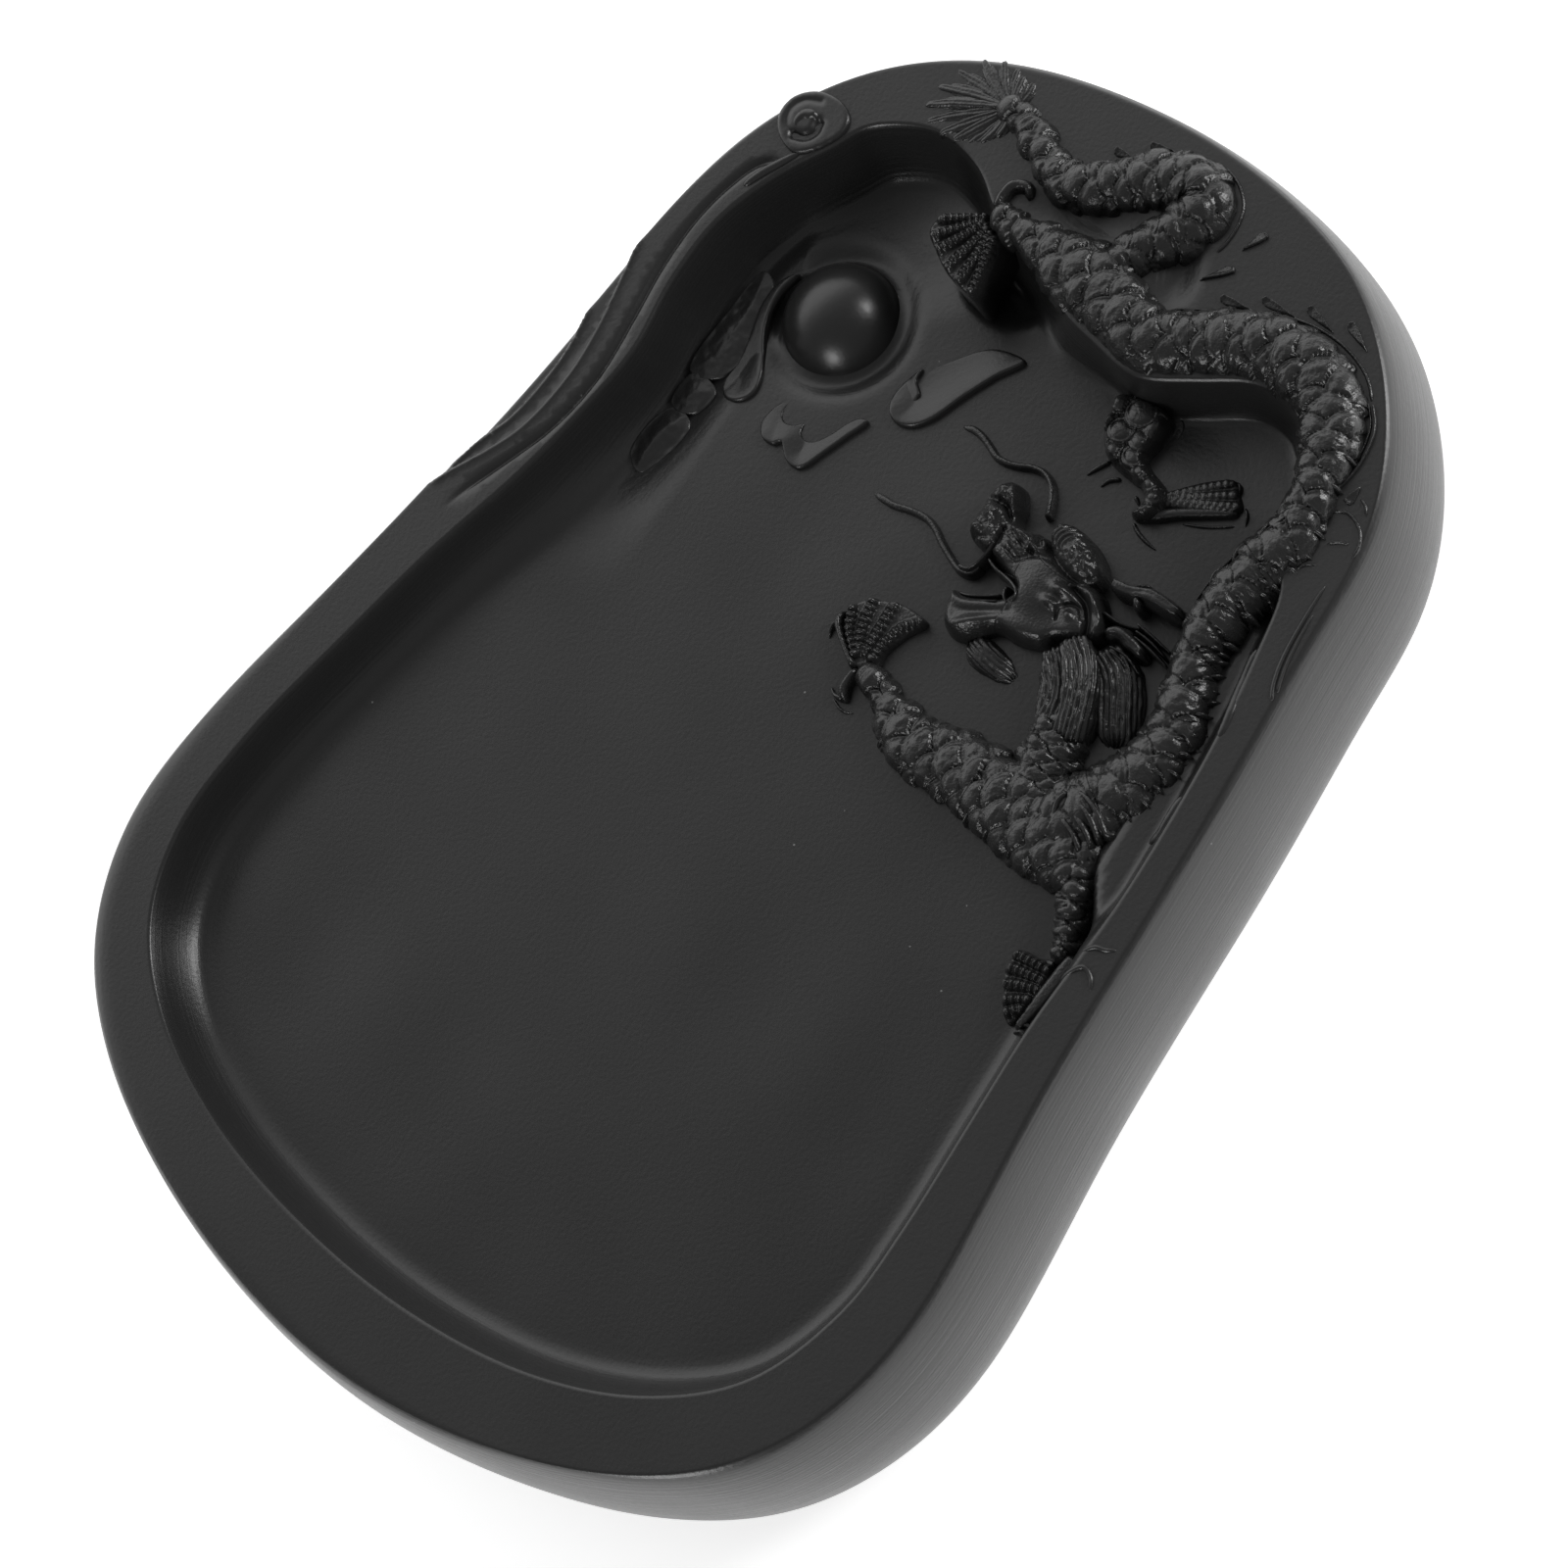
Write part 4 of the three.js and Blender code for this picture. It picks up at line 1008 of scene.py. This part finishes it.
def throat():
    """The scaly neck between the mane and the chest."""
    return strip([(24.6, 16, 2.2, 20.9), (25, 13.4, 2.5, 21.1), (25.6, 11, 2.7, 21.3),
                  (26.6, 8.6, 2.8, 21.5), (28, 6.8, 2.6, 21.5)], FLOOR,
                 scaly(0.9, 2, 1.15, 0.4, seed=15), across=0.11, round_power=3.2)


def horns():
    upper = join([
        strip([(21.4, 27.9, 0.35, 21.8), (22.6, 27.8, 0.55, 22), (24, 28, 0.6, 22.1),
               (25.4, 28.4, 0.75, 22.2), (27, 28.4, 0.7, 22.1), (29, 28.3, 0.5, 21.8)], 19,
              strands(0.5, 0.2, 0.1), across=0.07, round_power=3),
        strip([(23.8, 28.3, 0.25, 22.2), (24.8, 28.9, 0.3, 22.3), (25.8, 29, 0.25, 22.1)], 20),
        strip([(24.4, 27.8, 0.5, 22.1), (25, 27.2, 0.6, 22.1), (25.3, 26.7, 0.4, 21.8)], 19,
              taper=(0.4, 0.4))])
    thin = [((22.4, 25.3), (24.5, 25.2), (26.2, 25.7)), ((25.6, 25.9), (27.4, 25.6), (29.6, 25.2)),
            ((25.8, 25.3), (27.6, 25.1), (29.4, 24.6)), ((26, 24.8), (28, 24.5), (30, 24)),
            ((24.6, 23), (26.4, 23), (28.3, 22.2)), ((24.8, 22.7), (26.2, 22.5), (27.6, 21.8))]
    stem = strip([(23.6, 23.6, 0.45, 21.6), (24.8, 24.4, 0.6, 21.8), (26.2, 24.2, 0.65, 21.6),
                  (27.9, 23.7, 0.4, 21.3)], 19, strands(0.5, 0.25, 0.2), across=0.07)
    locks = [strip([(*a, 0.2, 21.4), (*b, 0.24, 21.2), (*c, 0.12, 20.6)], 19, taper=(0.3, 0.3))
             for a, b, c in thin]
    return upper, join([stem] + locks)


def manes():
    """Three overlapping sheets of fine hair, sweeping down from behind the head."""
    def sheet(stations, width, depth, seed):
        return strip(stations, 18.8, strands(width, depth, 0.08, seed), across=0.06, taper=(0.5, 1.2),
                     round_power=5)
    front = sheet([(20.4, 20.4, 0.9, 21.4), (21.6, 19.3, 1.5, 21.3), (22.7, 17.7, 1.6, 21.2),
                   (23.4, 15.8, 1.5, 21.1), (23.8, 14, 1.2, 21), (24, 12.6, 0.8, 21)], 0.32, 0.32, 1)
    middle = sheet([(21.6, 22.1, 1, 21.9), (23, 20.7, 1.7, 21.8), (24.4, 18.8, 1.8, 21.7),
                    (25.3, 16.9, 1.7, 21.6), (25.8, 15, 1.5, 21.5), (26, 13.6, 0.9, 21.4)], 0.32, 0.34, 2)
    rear = sheet([(24.2, 22.5, 1.3, 20.9), (25.9, 21.4, 2, 20.7), (27.4, 19.8, 2.2, 20.4),
                  (28.6, 17.8, 2, 20.1), (29.5, 16, 1.2, 19.8)], 0.42, 0.3, 3)
    return front, middle, rear


def fringe(body, first, last, pitch, side, reach, lean, shares=(0.62, 0.97), lift=0.15, drop=1.1):
    """Short flame-like locks along one side of a limb (side +1 is left of its path)."""
    locks = []
    for k, s in enumerate(np.arange(first, last, pitch)):
        start, edge = body.at(np.array([s, s]), np.array(shares) * side)
        here, ahead = body.at(np.array([s, s + 0.2]), np.zeros(2))[:, :2]
        along = (ahead - here) / np.linalg.norm(ahead - here)
        out = (edge - start)[:2] / np.linalg.norm((edge - start)[:2])
        size = reach * (0.8 + 0.25 * math.sin(k * 2.3))
        way = out + along * (lean + 0.3 * math.sin(k * 1.7))
        tip = edge[:2] + size * way / np.linalg.norm(way)
        middle = 0.5 * (start[:2] + tip) + 0.12 * along
        top = start[2] + lift
        rows = [(*start[:2], 0.2, top - 1.2, top), (*middle, 0.3, top - 1.6, top - 0.2 * drop),
                (*tip, 0.08, top - 2.2, top - drop)]
        locks.append(ridge(rows, on_ground=False, taper=(0.3, 0.3)))
    return join(locks)


DORSAL = [(34.2, 51.4), (35.6, 49.6), (36.2, 47), (36.1, 44.8), (35.6, 42.8), (34.8, 40.8), (34, 39),
          (33.2, 37.6), (32.4, 36), (31.6, 34), (31, 32), (30.8, 30), (30.6, 28.4)]
# low lines that follow the back's outer edge on the rim: over the body and around the tail
EDGE_LINES = [[(14.2, 50.4), (18, 52.2), (22, 54), (26, 54.8), (29.6, 54.4), (32.6, 53), (34.4, 51)],
              [(7, 62.9), (8.6, 63.1), (10.4, 63.4), (12.2, 63), (13.6, 62.1), (14.6, 60.8), (15, 59),
               (14.9, 57.2), (14.4, 55.6)],
              [(36.4, 41.7), (37.4, 42.2), (38.9, 41.8), (40, 40.6), (40.2, 38.1)],
              [(37.9, 43.8), (38.6, 43.5), (39.2, 42.7)], [(37.6, 39.1), (38.4, 39.7), (39.3, 40)],
              [(36.6, 36), (37, 36.7), (37.8, 37.1)]]
# strands of the whorl where the foreleg joins the shoulder: x, y, half width and crest height
WHORL = [[(30.2, 10.8, 23.2), (31.6, 10.6, 23.5), (33.2, 9.9, 23.5), (34.6, 9, 23.1), (35.3, 9.6, 22.8)],
         [(30.4, 9.9, 23.2), (31.8, 9.7, 23.5), (33.2, 9, 23.4), (34.4, 8, 23)],
         [(30.6, 9, 23.1), (31.9, 8.7, 23.3), (33.1, 8.1, 23.2), (34.1, 7.2, 22.8)],
         [(30.2, 8.2, 22.9), (31.4, 7.8, 23), (32.5, 7.2, 22.9), (33.3, 6.4, 22.6)],
         [(29.6, 10.4, 23), (29.2, 9.4, 23), (29.5, 8.2, 22.8), (30.4, 7.4, 22.7)]]


def shoulder_whorl():
    return join([ridge([(x, y, 0.42, z - 1.6, z) for x, y, z in points], strands(0.3, 0.08, 0.1, k),
                       on_ground=False, across=0.07, taper=(0.4, 0.5)) for k, points in enumerate(WHORL)])


def dorsal_ridge(body):
    """The thin double crest that crosses over the back, with small fins standing on its inner side."""
    line = spline(DORSAL, False, 0.9)
    far, along, side = nearest(line, body.line[:, :2])
    width = np.interp(along, body.s, body.width)
    on_body = body.at(along, np.clip(side * far / width, -0.97, 0.97))[:, 2]
    z = np.where(far < width, on_body, RIM_Z)
    parts = [ridge([(x, y, 0.17, 0.25) for x, y in points], taper=(0.8, 0.8)) for points in EDGE_LINES]
    for shift, half, lift in ((0.0, 0.16, 0.45), (0.42, 0.14, 0.3)):
        rows = np.c_[line[:, :2] + [-shift, -0.2 * shift], np.full(len(line), half), z - 0.5, z + lift]
        parts.append(ridge(rows, on_ground=False, taper=(0.4, 0.4)))
    for k in range(8, len(line) - 2, 3):
        x, y, top = line[k, 0], line[k, 1], z[k]
        rows = [(x - 0.2, y - 1, 0.22, top - 1.2, top + 0.3), (x - 0.5, y + 0.2, 0.34, top - 1.2, top + 0.4),
                (x - 0.35, y + 1.3, 0.12, top - 1, top + 0.2)]
        parts.append(ridge(rows, on_ground=False, taper=(0.3, 0.2)))
    return join(parts)


def whisker(points):
    """A thin tapering feeler. Points are (x, y, height above the ground)."""
    return ridge([(x, y, 0.36, h) for x, y, h in points], step=0.12, across=0.07, taper=(1.2, 0.3))


def cloud_hook():
    edge = [(2.4, 41.3), (0.9, 38.8), (-0.6, 35.8), (-2, 32.6), (-3.3, 31.2), (-4.7, 30.8), (-5.9, 31.3)]
    main = patch(edge + [(-6.6, 32.6), (-6.4, 34.6), (-4, 38), (-1, 41)], chipped(edge, 0.75, 2.4))
    notch = [(-5.6, 36.3), (-5.4, 35.1), (-4.4, 34.1)]
    tip = patch([(-6.6, 33), (-6.4, 34.8)] + notch + [(-5, 32.6)], chipped(notch, 0.6, 0.9))
    return join([main, tip])


def cloud_scroll():
    shape = [(-7.1, 29.7), (-8, 27.4), (-9, 25), (-9.7, 23.4), (-10.4, 22.8), (-11.6, 22.9), (-12.6, 23.7),
             (-13.1, 24.15), (-13.7, 23.6), (-14.9, 23.6), (-15.9, 24.7), (-15.9, 26.4), (-15, 27.8),
             (-14.8, 26.5), (-14.1, 25.9), (-13.1, 26.1), (-12.4, 26.7), (-12.1, 25.8), (-11.4, 25.4),
             (-10.4, 25.8), (-9.4, 27.2), (-8.7, 28.7), (-7.9, 29.6)]
    return patch(shape, chipped(shape[:10], 0.7, 2.2), step=0.14, round_edge=0.12)


def cloud_by_pearl():
    edge = [(-21.3, 38.3), (-21.8, 36.2), (-21.6, 34), (-20.8, 32), (-19.6, 30.2), (-18.6, 28.6),
            (-18.2, 27), (-18.6, 25.9), (-19.6, 25.2), (-20.8, 25.2)]
    shape = edge + [(-21.7, 26.2), (-21.6, 28.6), (-22.2, 31.4), (-22.9, 34.4), (-22.5, 37)]
    return patch(shape, chipped(edge, 0.55, 1.6), base=cloud_bank)


def cloud_bank(p):
    """The ledge beside the pearl, a little above the pool."""
    return np.maximum(ground_at(p), 18.6 + 0.1 * ripple(p, 9))


# name, height, seed and outline of each rock at the left of the pool
ROCKS = [
    ("lower", 0.5, 21, [(-25.8, 16.5), (-24, 15.4), (-22.5, 18), (-22.1, 21), (-23, 22), (-24.8, 22),
                        (-25.8, 20)]),
    ("middle", 0.45, 22, [(-25.2, 22.4), (-23.6, 22), (-22.2, 23), (-21.8, 25), (-23, 25.8), (-25, 25.6)]),
    ("upper", 0.35, 23, [(-25.4, 25.8), (-23, 26), (-21.6, 28), (-21.8, 32), (-22.8, 36), (-24.6, 37),
                         (-25.4, 32)])]


def rock(points, height, seed):
    """A low rough rock on the ledge beside the pearl."""
    def relief(p, d):
        mound = height * (1 - bell(d, 1.2))
        return mound + 0.08 * grain(p, 0.9, seed) + 0.03 * grain(p, 0.35, seed + 1)
    return patch(points, relief, base=cloud_bank, round_edge=0.7, sink=2.5)


def pearl(rows=48, cols=96):
    """A polished ball standing in its hollow."""
    low = ground_at(PEARL[None])[0] - 1.5
    verts = [[*PEARL, PEARL_Z + PEARL_RADIUS]]
    for k in range(1, rows):
        a = math.pi * 0.62 * k / (rows - 1)
        z = max(PEARL_Z + PEARL_RADIUS * math.cos(a), low)
        for b in np.arange(cols) * math.tau / cols:
            r = PEARL_RADIUS * math.sin(a)
            verts.append([PEARL[0] + r * math.cos(b), PEARL[1] + r * math.sin(b), z])
    faces = [[0, 1 + m, 1 + (m + 1) % cols] for m in range(cols)]
    for first in range(1, 1 + (rows - 2) * cols, cols):
        for m in range(cols):
            a, b = first + m, first + (m + 1) % cols
            faces.append([a, a + cols, b + cols, b])
    faces.append([1 + (rows - 2) * cols + m for m in range(cols)][::-1])
    return np.array(verts), faces


def scroll():
    """The inner lobe of the scroll, and the disc round it with the low line that runs on from it."""
    pit = [(-24.6, 49.9), (-24.5, 49), (-25.1, 48.2), (-26.1, 47.9)]
    turn = [(-26.1, 47.9), (-27.4, 48.6), (-27.8, 49.8), (-27.1, 51.1), (-25.6, 51.7)]
    disc = patch([(-22, 50.2), (-22.3, 51.6), (-23.6, 52.5), (-25.3, 52.7), (-27.1, 52.2), (-28.4, 50.9),
                  (-28.7, 49.3), (-28, 47.8), (-26.8, 46.9), (-25.2, 46.5), (-23.8, 47.3), (-22.7, 48.6)],
                 lambda p, d: 0.5 - rib(p, pit, 0.42, 0.6) - rib(p, turn, 0.3, 0.2), round_edge=0.4)
    crest = strip([(-24.9, 50, 0.3, 25.7), (-25.5, 50.3, 0.55, 25.85), (-26.3, 50, 0.6, 25.8),
                   (-26.6, 49.1, 0.45, 25.7), (-26.1, 48.5, 0.3, 25.6)], RIM_Z + 0.1)
    band = join([disc, ridge([(-24.7, 46.9, 0.25, 0.25), (-25.8, 45.2, 0.4, 0.4), (-26.9, 43.4, 0.42, 0.4),
                              (-27.8, 41.4, 0.3, 0.25)])])
    return crest, band


def rim_lines():
    """Low lines on the right rim: the long one beside the neck and two short curls by the forepaw."""
    ledges = [ridge([(x, y, 0.4, 0.25) for x, y in points], taper=(1.2, 1.2)) for points in (
        [(37.4, 28.6), (37.7, 26.5), (38.3, 24), (38.8, 21.8), (39, 19.6)],
        [(38.9, 14.8), (38.9, 12.6), (38.7, 11), (38, 9.9)])]
    line = join(ledges + [ridge([(40, 33.4, 0.12, 0.14), (40.2, 30.6, 0.15, 0.2), (40.6, 28, 0.16, 0.22),
                                 (41.3, 25.6, 0.12, 0.16)], taper=(1, 0.4)),
                 ridge([(39.5, 36, 0.16, 0.14), (39.6, 32.5, 0.2, 0.22), (39.9, 29, 0.22, 0.24),
                        (40.5, 26.6, 0.22, 0.26), (41.4, 24.8, 0.18, 0.2)], taper=(1, 0.4))])
    upper = ridge([(39.1, -0.6, 0.22, 0.2), (40, 0.3, 0.26, 0.32), (40.8, 0.5, 0.24, 0.28),
                   (41.7, 1, 0.18, 0.2)])
    lower = ridge([(38.8, -3.6, 0.22, 0.22), (39.5, -2.2, 0.26, 0.32), (40.4, -1.5, 0.26, 0.34),
                   (41.2, -2.2, 0.22, 0.26), (41.9, -3.2, 0.16, 0.2)])
    return line, upper, lower


def add(name, nodes, shape, material):
    """One carving: its mesh, the frame's nodes it stands for, if any."""
    piece = make_mesh(name, *shape, material)
    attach(piece, "root")
    if nodes:
        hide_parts(*nodes)


# x, y, direction and length of each fin
SPINES = [(2.3, 60.4, 10, 2.2), (5, 62.4, 20, 2.4), (18.9, 53.4, 10, 3.2), (22.5, 54.8, 2, 3.8),
          (26.2, 55.6, -12, 3.4), (29.9, 55.8, -24, 3.2), (37.2, 43.8, 90, 1.9), (17.2, 58.8, 250, 2.6),
          (15.9, 54.8, 232, 3.2)]


def neck_fringe(body):
    return join([
        fringe(body, 7, 34, 1.15, -1, 1.1, 0.6),
        fringe(body, 6.5, 33, 1.5, -1, 0.6, 0.8, (0.2, 0.5), 0.6, 0.2),
        fringe(body, 7.2, 33, 1.5, -1, 0.6, 0.8, (0.48, 0.78), 0.6, 0.4),
        fringe(body, 34, 46, 1.3, -1, 0.9, -0.5)])


def build_carvings(relief, smooth_stone, polished):
    def dragon(name, shape):
        add(name, (name,), shape, relief)

    def extra(name, shape):
        add(name, (), shape, relief)

    def quiet(name, shape):
        add(name, (name,), shape, smooth_stone)

    body, (chest_top, neck, back, hip) = trunk()
    extra("neck_base", chest_top)
    dragon("dragon_neck", neck)
    dragon("dragon_back", back)
    dragon("dragon_hip", hip)
    extra("dorsal_ridge", dorsal_ridge(body))
    extra("neck_fringe", neck_fringe(body))
    extra("shoulder_whorl", shoulder_whorl())
    chest_body, (chest, arm) = chest_and_arm()
    dragon("dragon_chest", chest)
    dragon("foreleg_left", arm)
    extra("arm_fringe", fringe(chest_body, 5, 25, 1.3, 1, 0.9, 0.5))
    extra("throat", throat())
    dragon("foreleg_right", right_foreleg())
    tail_body, (tail_root, tail_end) = tail()
    dragon("dragon_tail_root", tail_root)
    dragon("dragon_tail", tail_end)
    extra("tail_fringe", fringe(tail_body, 5, 15, 1.4, -1, 0.8, -0.6))
    dragon("tail_fin", tail_fin())
    for k, place in enumerate(SPINES):
        dragon(f"dorsal_spine_{k + 1}", spine(*place))
    dragon("forepaw_left", left_forepaw())
    dragon("foreclaw_left", left_claws())
    dragon("forepaw_right", right_forepaw())
    dragon("hindleg_lower", lower_hind_leg())
    dragon("hindpaw_lower", lower_hind_paw())
    dragon("hindclaw_lower", lower_hind_claw())
    dragon("hindpaw_upper", upper_hind_paw())
    dragon("hindclaw_upper", upper_hind_claw())
    for name, shape in zip(("skull", "brow", "snout", "lower_jaw"), head()):
        dragon("head_" + name, shape)
    extra("lips", lips())
    extra("beard", beard())
    for name, shape in zip(("upper", "lower"), horns()):
        dragon("horn_" + name, shape)
    for name, shape in zip(("front", "middle", "rear"), manes()):
        dragon("mane_" + name, shape)
    dragon("whisker_upper", whisker([
        (0.7, 33.6, 0.3), (2.3, 33.8, 0.5), (4, 33.2, 0.6), (5.6, 32.6, 0.7), (7.4, 32.9, 0.8),
        (9.2, 33.5, 0.9), (10.6, 33.3, 1.1), (11.6, 32.4, 1.3), (12.3, 31.2, 1.4), (12.8, 30, 1.4)]))
    dragon("whisker_lower", whisker([
        (-2.8, 24.5, 0.3), (-0.5, 24.4, 0.5), (1.5, 24.8, 0.6), (3.6, 24.7, 0.7), (5.4, 23.7, 0.8),
        (7.2, 22.8, 0.9), (8.6, 22.3, 1.1), (9.6, 22.4, 1.3), (10.2, 23.2, 1.5), (10.4, 24.4, 1.6)]))
    quiet("cloud_hook", cloud_hook())
    quiet("cloud_scroll", cloud_scroll())
    quiet("cloud_pearl", cloud_by_pearl())
    for name, height, seed, points in ROCKS:
        quiet("pool_rock_" + name, rock(points, height, seed))
    for name, shape in zip(("scroll_crest", "scroll_band"), scroll()):
        quiet(name, shape)
    for name, shape in zip(("rim_line", "rim_curl_upper", "rim_curl_lower"), rim_lines()):
        quiet(name, shape)
    add("pearl", ("pearl",), pearl(), polished)


# ---------------------------------------------------------------- materials


def add_node(tree, kind, **values):
    """A shader node with its inputs set by name; spaces in an input's name are written as _."""
    made = tree.nodes.new("ShaderNode" + kind)
    for key, value in values.items():
        made.inputs[key.replace("_", " ")].default_value = value
    return made


def maths(tree, operation, first, second=0.0):
    """A maths node on two sockets or numbers, as its output socket."""
    made = tree.nodes.new("ShaderNodeMath")
    made.operation = operation
    for socket, value in zip(made.inputs, (first, second)):
        if isinstance(value, (int, float)):
            socket.default_value = value
        else:
            tree.links.new(value, socket)
    return made.outputs[0]


def stone_material(name, roughness, bump, scratch=0.0, grit=2600.0):
    """Black stone: fine grit, faint wear, scratches along the sides and a few pale specks of dust."""
    material = bpy.data.materials.new(name)
    material.use_nodes = True
    tree = material.node_tree
    link = tree.links.new
    tree.nodes.clear()
    out = add_node(tree, "OutputMaterial")
    shader = add_node(tree, "BsdfPrincipled")
    link(shader.outputs["BSDF"], out.inputs["Surface"])
    place = add_node(tree, "TexCoord").outputs["Object"]
    fine = add_node(tree, "TexNoise", Scale=grit, Detail=3.0)
    wide = add_node(tree, "TexNoise", Scale=90.0, Detail=4.0)
    specks = add_node(tree, "TexVoronoi", Scale=420.0)
    stretched = add_node(tree, "Mapping", Scale=(45, 45, 3200))
    for texture in (fine, wide, specks, stretched):
        link(place, texture.inputs["Vector"])
    lines = add_node(tree, "TexNoise", Scale=1.0, Detail=3.0)
    link(stretched.outputs["Vector"], lines.inputs["Vector"])

    worn = maths(tree, "MULTIPLY", maths(tree, "SUBTRACT", wide.outputs["Fac"], 0.5), 0.16)
    grained = maths(tree, "MULTIPLY", maths(tree, "SUBTRACT", fine.outputs["Fac"], 0.5), 0.08)
    uneven = maths(tree, "ADD", worn, grained)
    link(maths(tree, "ADD", uneven, roughness), shader.inputs["Roughness"])
    scratches = maths(tree, "MULTIPLY", lines.outputs["Fac"], scratch)
    bumps = add_node(tree, "Bump", Strength=bump, Distance=0.00006)
    link(maths(tree, "ADD", fine.outputs["Fac"], scratches), bumps.inputs["Height"])
    link(bumps.outputs["Normal"], shader.inputs["Normal"])

    chance = add_node(tree, "SeparateColor")
    link(specks.outputs["Color"], chance.inputs["Color"])
    small = maths(tree, "LESS_THAN", specks.outputs["Distance"], 0.04)
    rare = maths(tree, "GREATER_THAN", chance.outputs["Red"], 0.93)
    tint = add_node(tree, "MapRange", To_Min=0.0165, To_Max=0.16)
    link(maths(tree, "MULTIPLY", small, rare), tint.inputs["Value"])
    link(tint.outputs["Result"], shader.inputs["Base Color"])
    return material


# ---------------------------------------------------------------- stage


CAMERA_PLACE = Vector((0.15828, -0.01998, 0.35332))
CAMERA_RIGHT = Vector((0.77063, 0.54986, -0.32214))
CAMERA_UP = Vector((-0.48338, 0.83376, 0.26679))


def set_camera():
    data = bpy.data.cameras.new("camera")
    camera = bpy.data.objects.new("camera", data)
    bpy.context.scene.collection.objects.link(camera)
    data.sensor_width = 36
    data.lens = 96.75
    turn = Matrix((CAMERA_RIGHT, CAMERA_UP, CAMERA_RIGHT.cross(CAMERA_UP))).transposed().to_4x4()
    camera.matrix_world = Matrix.Translation(CAMERA_PLACE) @ turn
    bpy.context.scene.camera = camera


def set_floor():
    bpy.ops.mesh.primitive_plane_add(size=6, location=(0, 0, 0))
    floor = bpy.context.object
    floor.name = "floor"
    material = bpy.data.materials.new("floor")
    material.use_nodes = True
    shader = material.node_tree.nodes["Principled BSDF"]
    shader.inputs["Base Color"].default_value = (0.9, 0.9, 0.9, 1)
    shader.inputs["Roughness"].default_value = 0.9
    shader.inputs["Emission Color"].default_value = (1, 1, 1, 1)
    shader.inputs["Emission Strength"].default_value = 0.64
    floor.data.materials.append(material)


def set_world():
    """A white room whose far left side is bright and whose near right side is dark, seen only in
    reflections; the brightness falls off exponentially across the sky."""
    world = bpy.data.worlds.new("world")
    bpy.context.scene.world = world
    world.use_nodes = True
    tree = world.node_tree
    lean = add_node(tree, "VectorMath")
    lean.operation = "DOT_PRODUCT"
    lean.inputs[1].default_value = (-6.2 * 0.94, 6.2 * 0.35, 0)
    tree.links.new(add_node(tree, "TexCoord").outputs["Generated"], lean.inputs[0])
    grown = maths(tree, "EXPONENT", maths(tree, "ADD", lean.outputs["Value"], math.log(0.025)))
    strength = maths(tree, "ADD", maths(tree, "MINIMUM", grown, 1.5), 0.2)
    back = tree.nodes["Background"]
    tree.links.new(strength, back.inputs["Strength"])
    back.inputs["Color"].default_value = (1, 1, 1, 1)


def softbox(name, towards, distance, width, height, power):
    """A rectangular lamp that faces the origin from the given direction."""
    data = bpy.data.lights.new(name, "AREA")
    data.shape = "RECTANGLE"
    data.size, data.size_y = width, height
    data.energy = power
    lamp = bpy.data.objects.new(name, data)
    direction = Vector(towards).normalized()
    turn = direction.to_track_quat("Z", "Y").to_matrix().to_4x4()
    lamp.matrix_world = Matrix.Translation(direction * distance) @ turn
    bpy.context.scene.collection.objects.link(lamp)


def set_lights():
    softbox("far_strip", (0.51, 0.80, 0.36), 0.8, 0.22, 0.5, 4.2)
    softbox("near_strip", (0.31, -0.94, 0.18), 0.8, 0.22, 0.4, 2.5)


# ---------------------------------------------------------------- build

stone = stone_material("black_stone", 0.33, 0.35, 2.5)
slab = build_slab(stone)
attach(slab, "root")
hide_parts("stone_slab", "rim_wave_upper", "rim_wave_lower", "rim_ribbon")
relief_stone = stone_material("relief_stone", 0.24, 1.0, 0.0, 4200.0)
pearl_stone = stone_material("pearl_stone", 0.32, 0.2)
build_carvings(relief_stone, stone, pearl_stone)
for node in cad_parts.values():
    node.data.materials.clear()
    node.data.materials.append(stone)

bpy.context.scene.view_settings.view_transform = "Standard"
set_camera()
set_floor()
set_world()
set_lights()
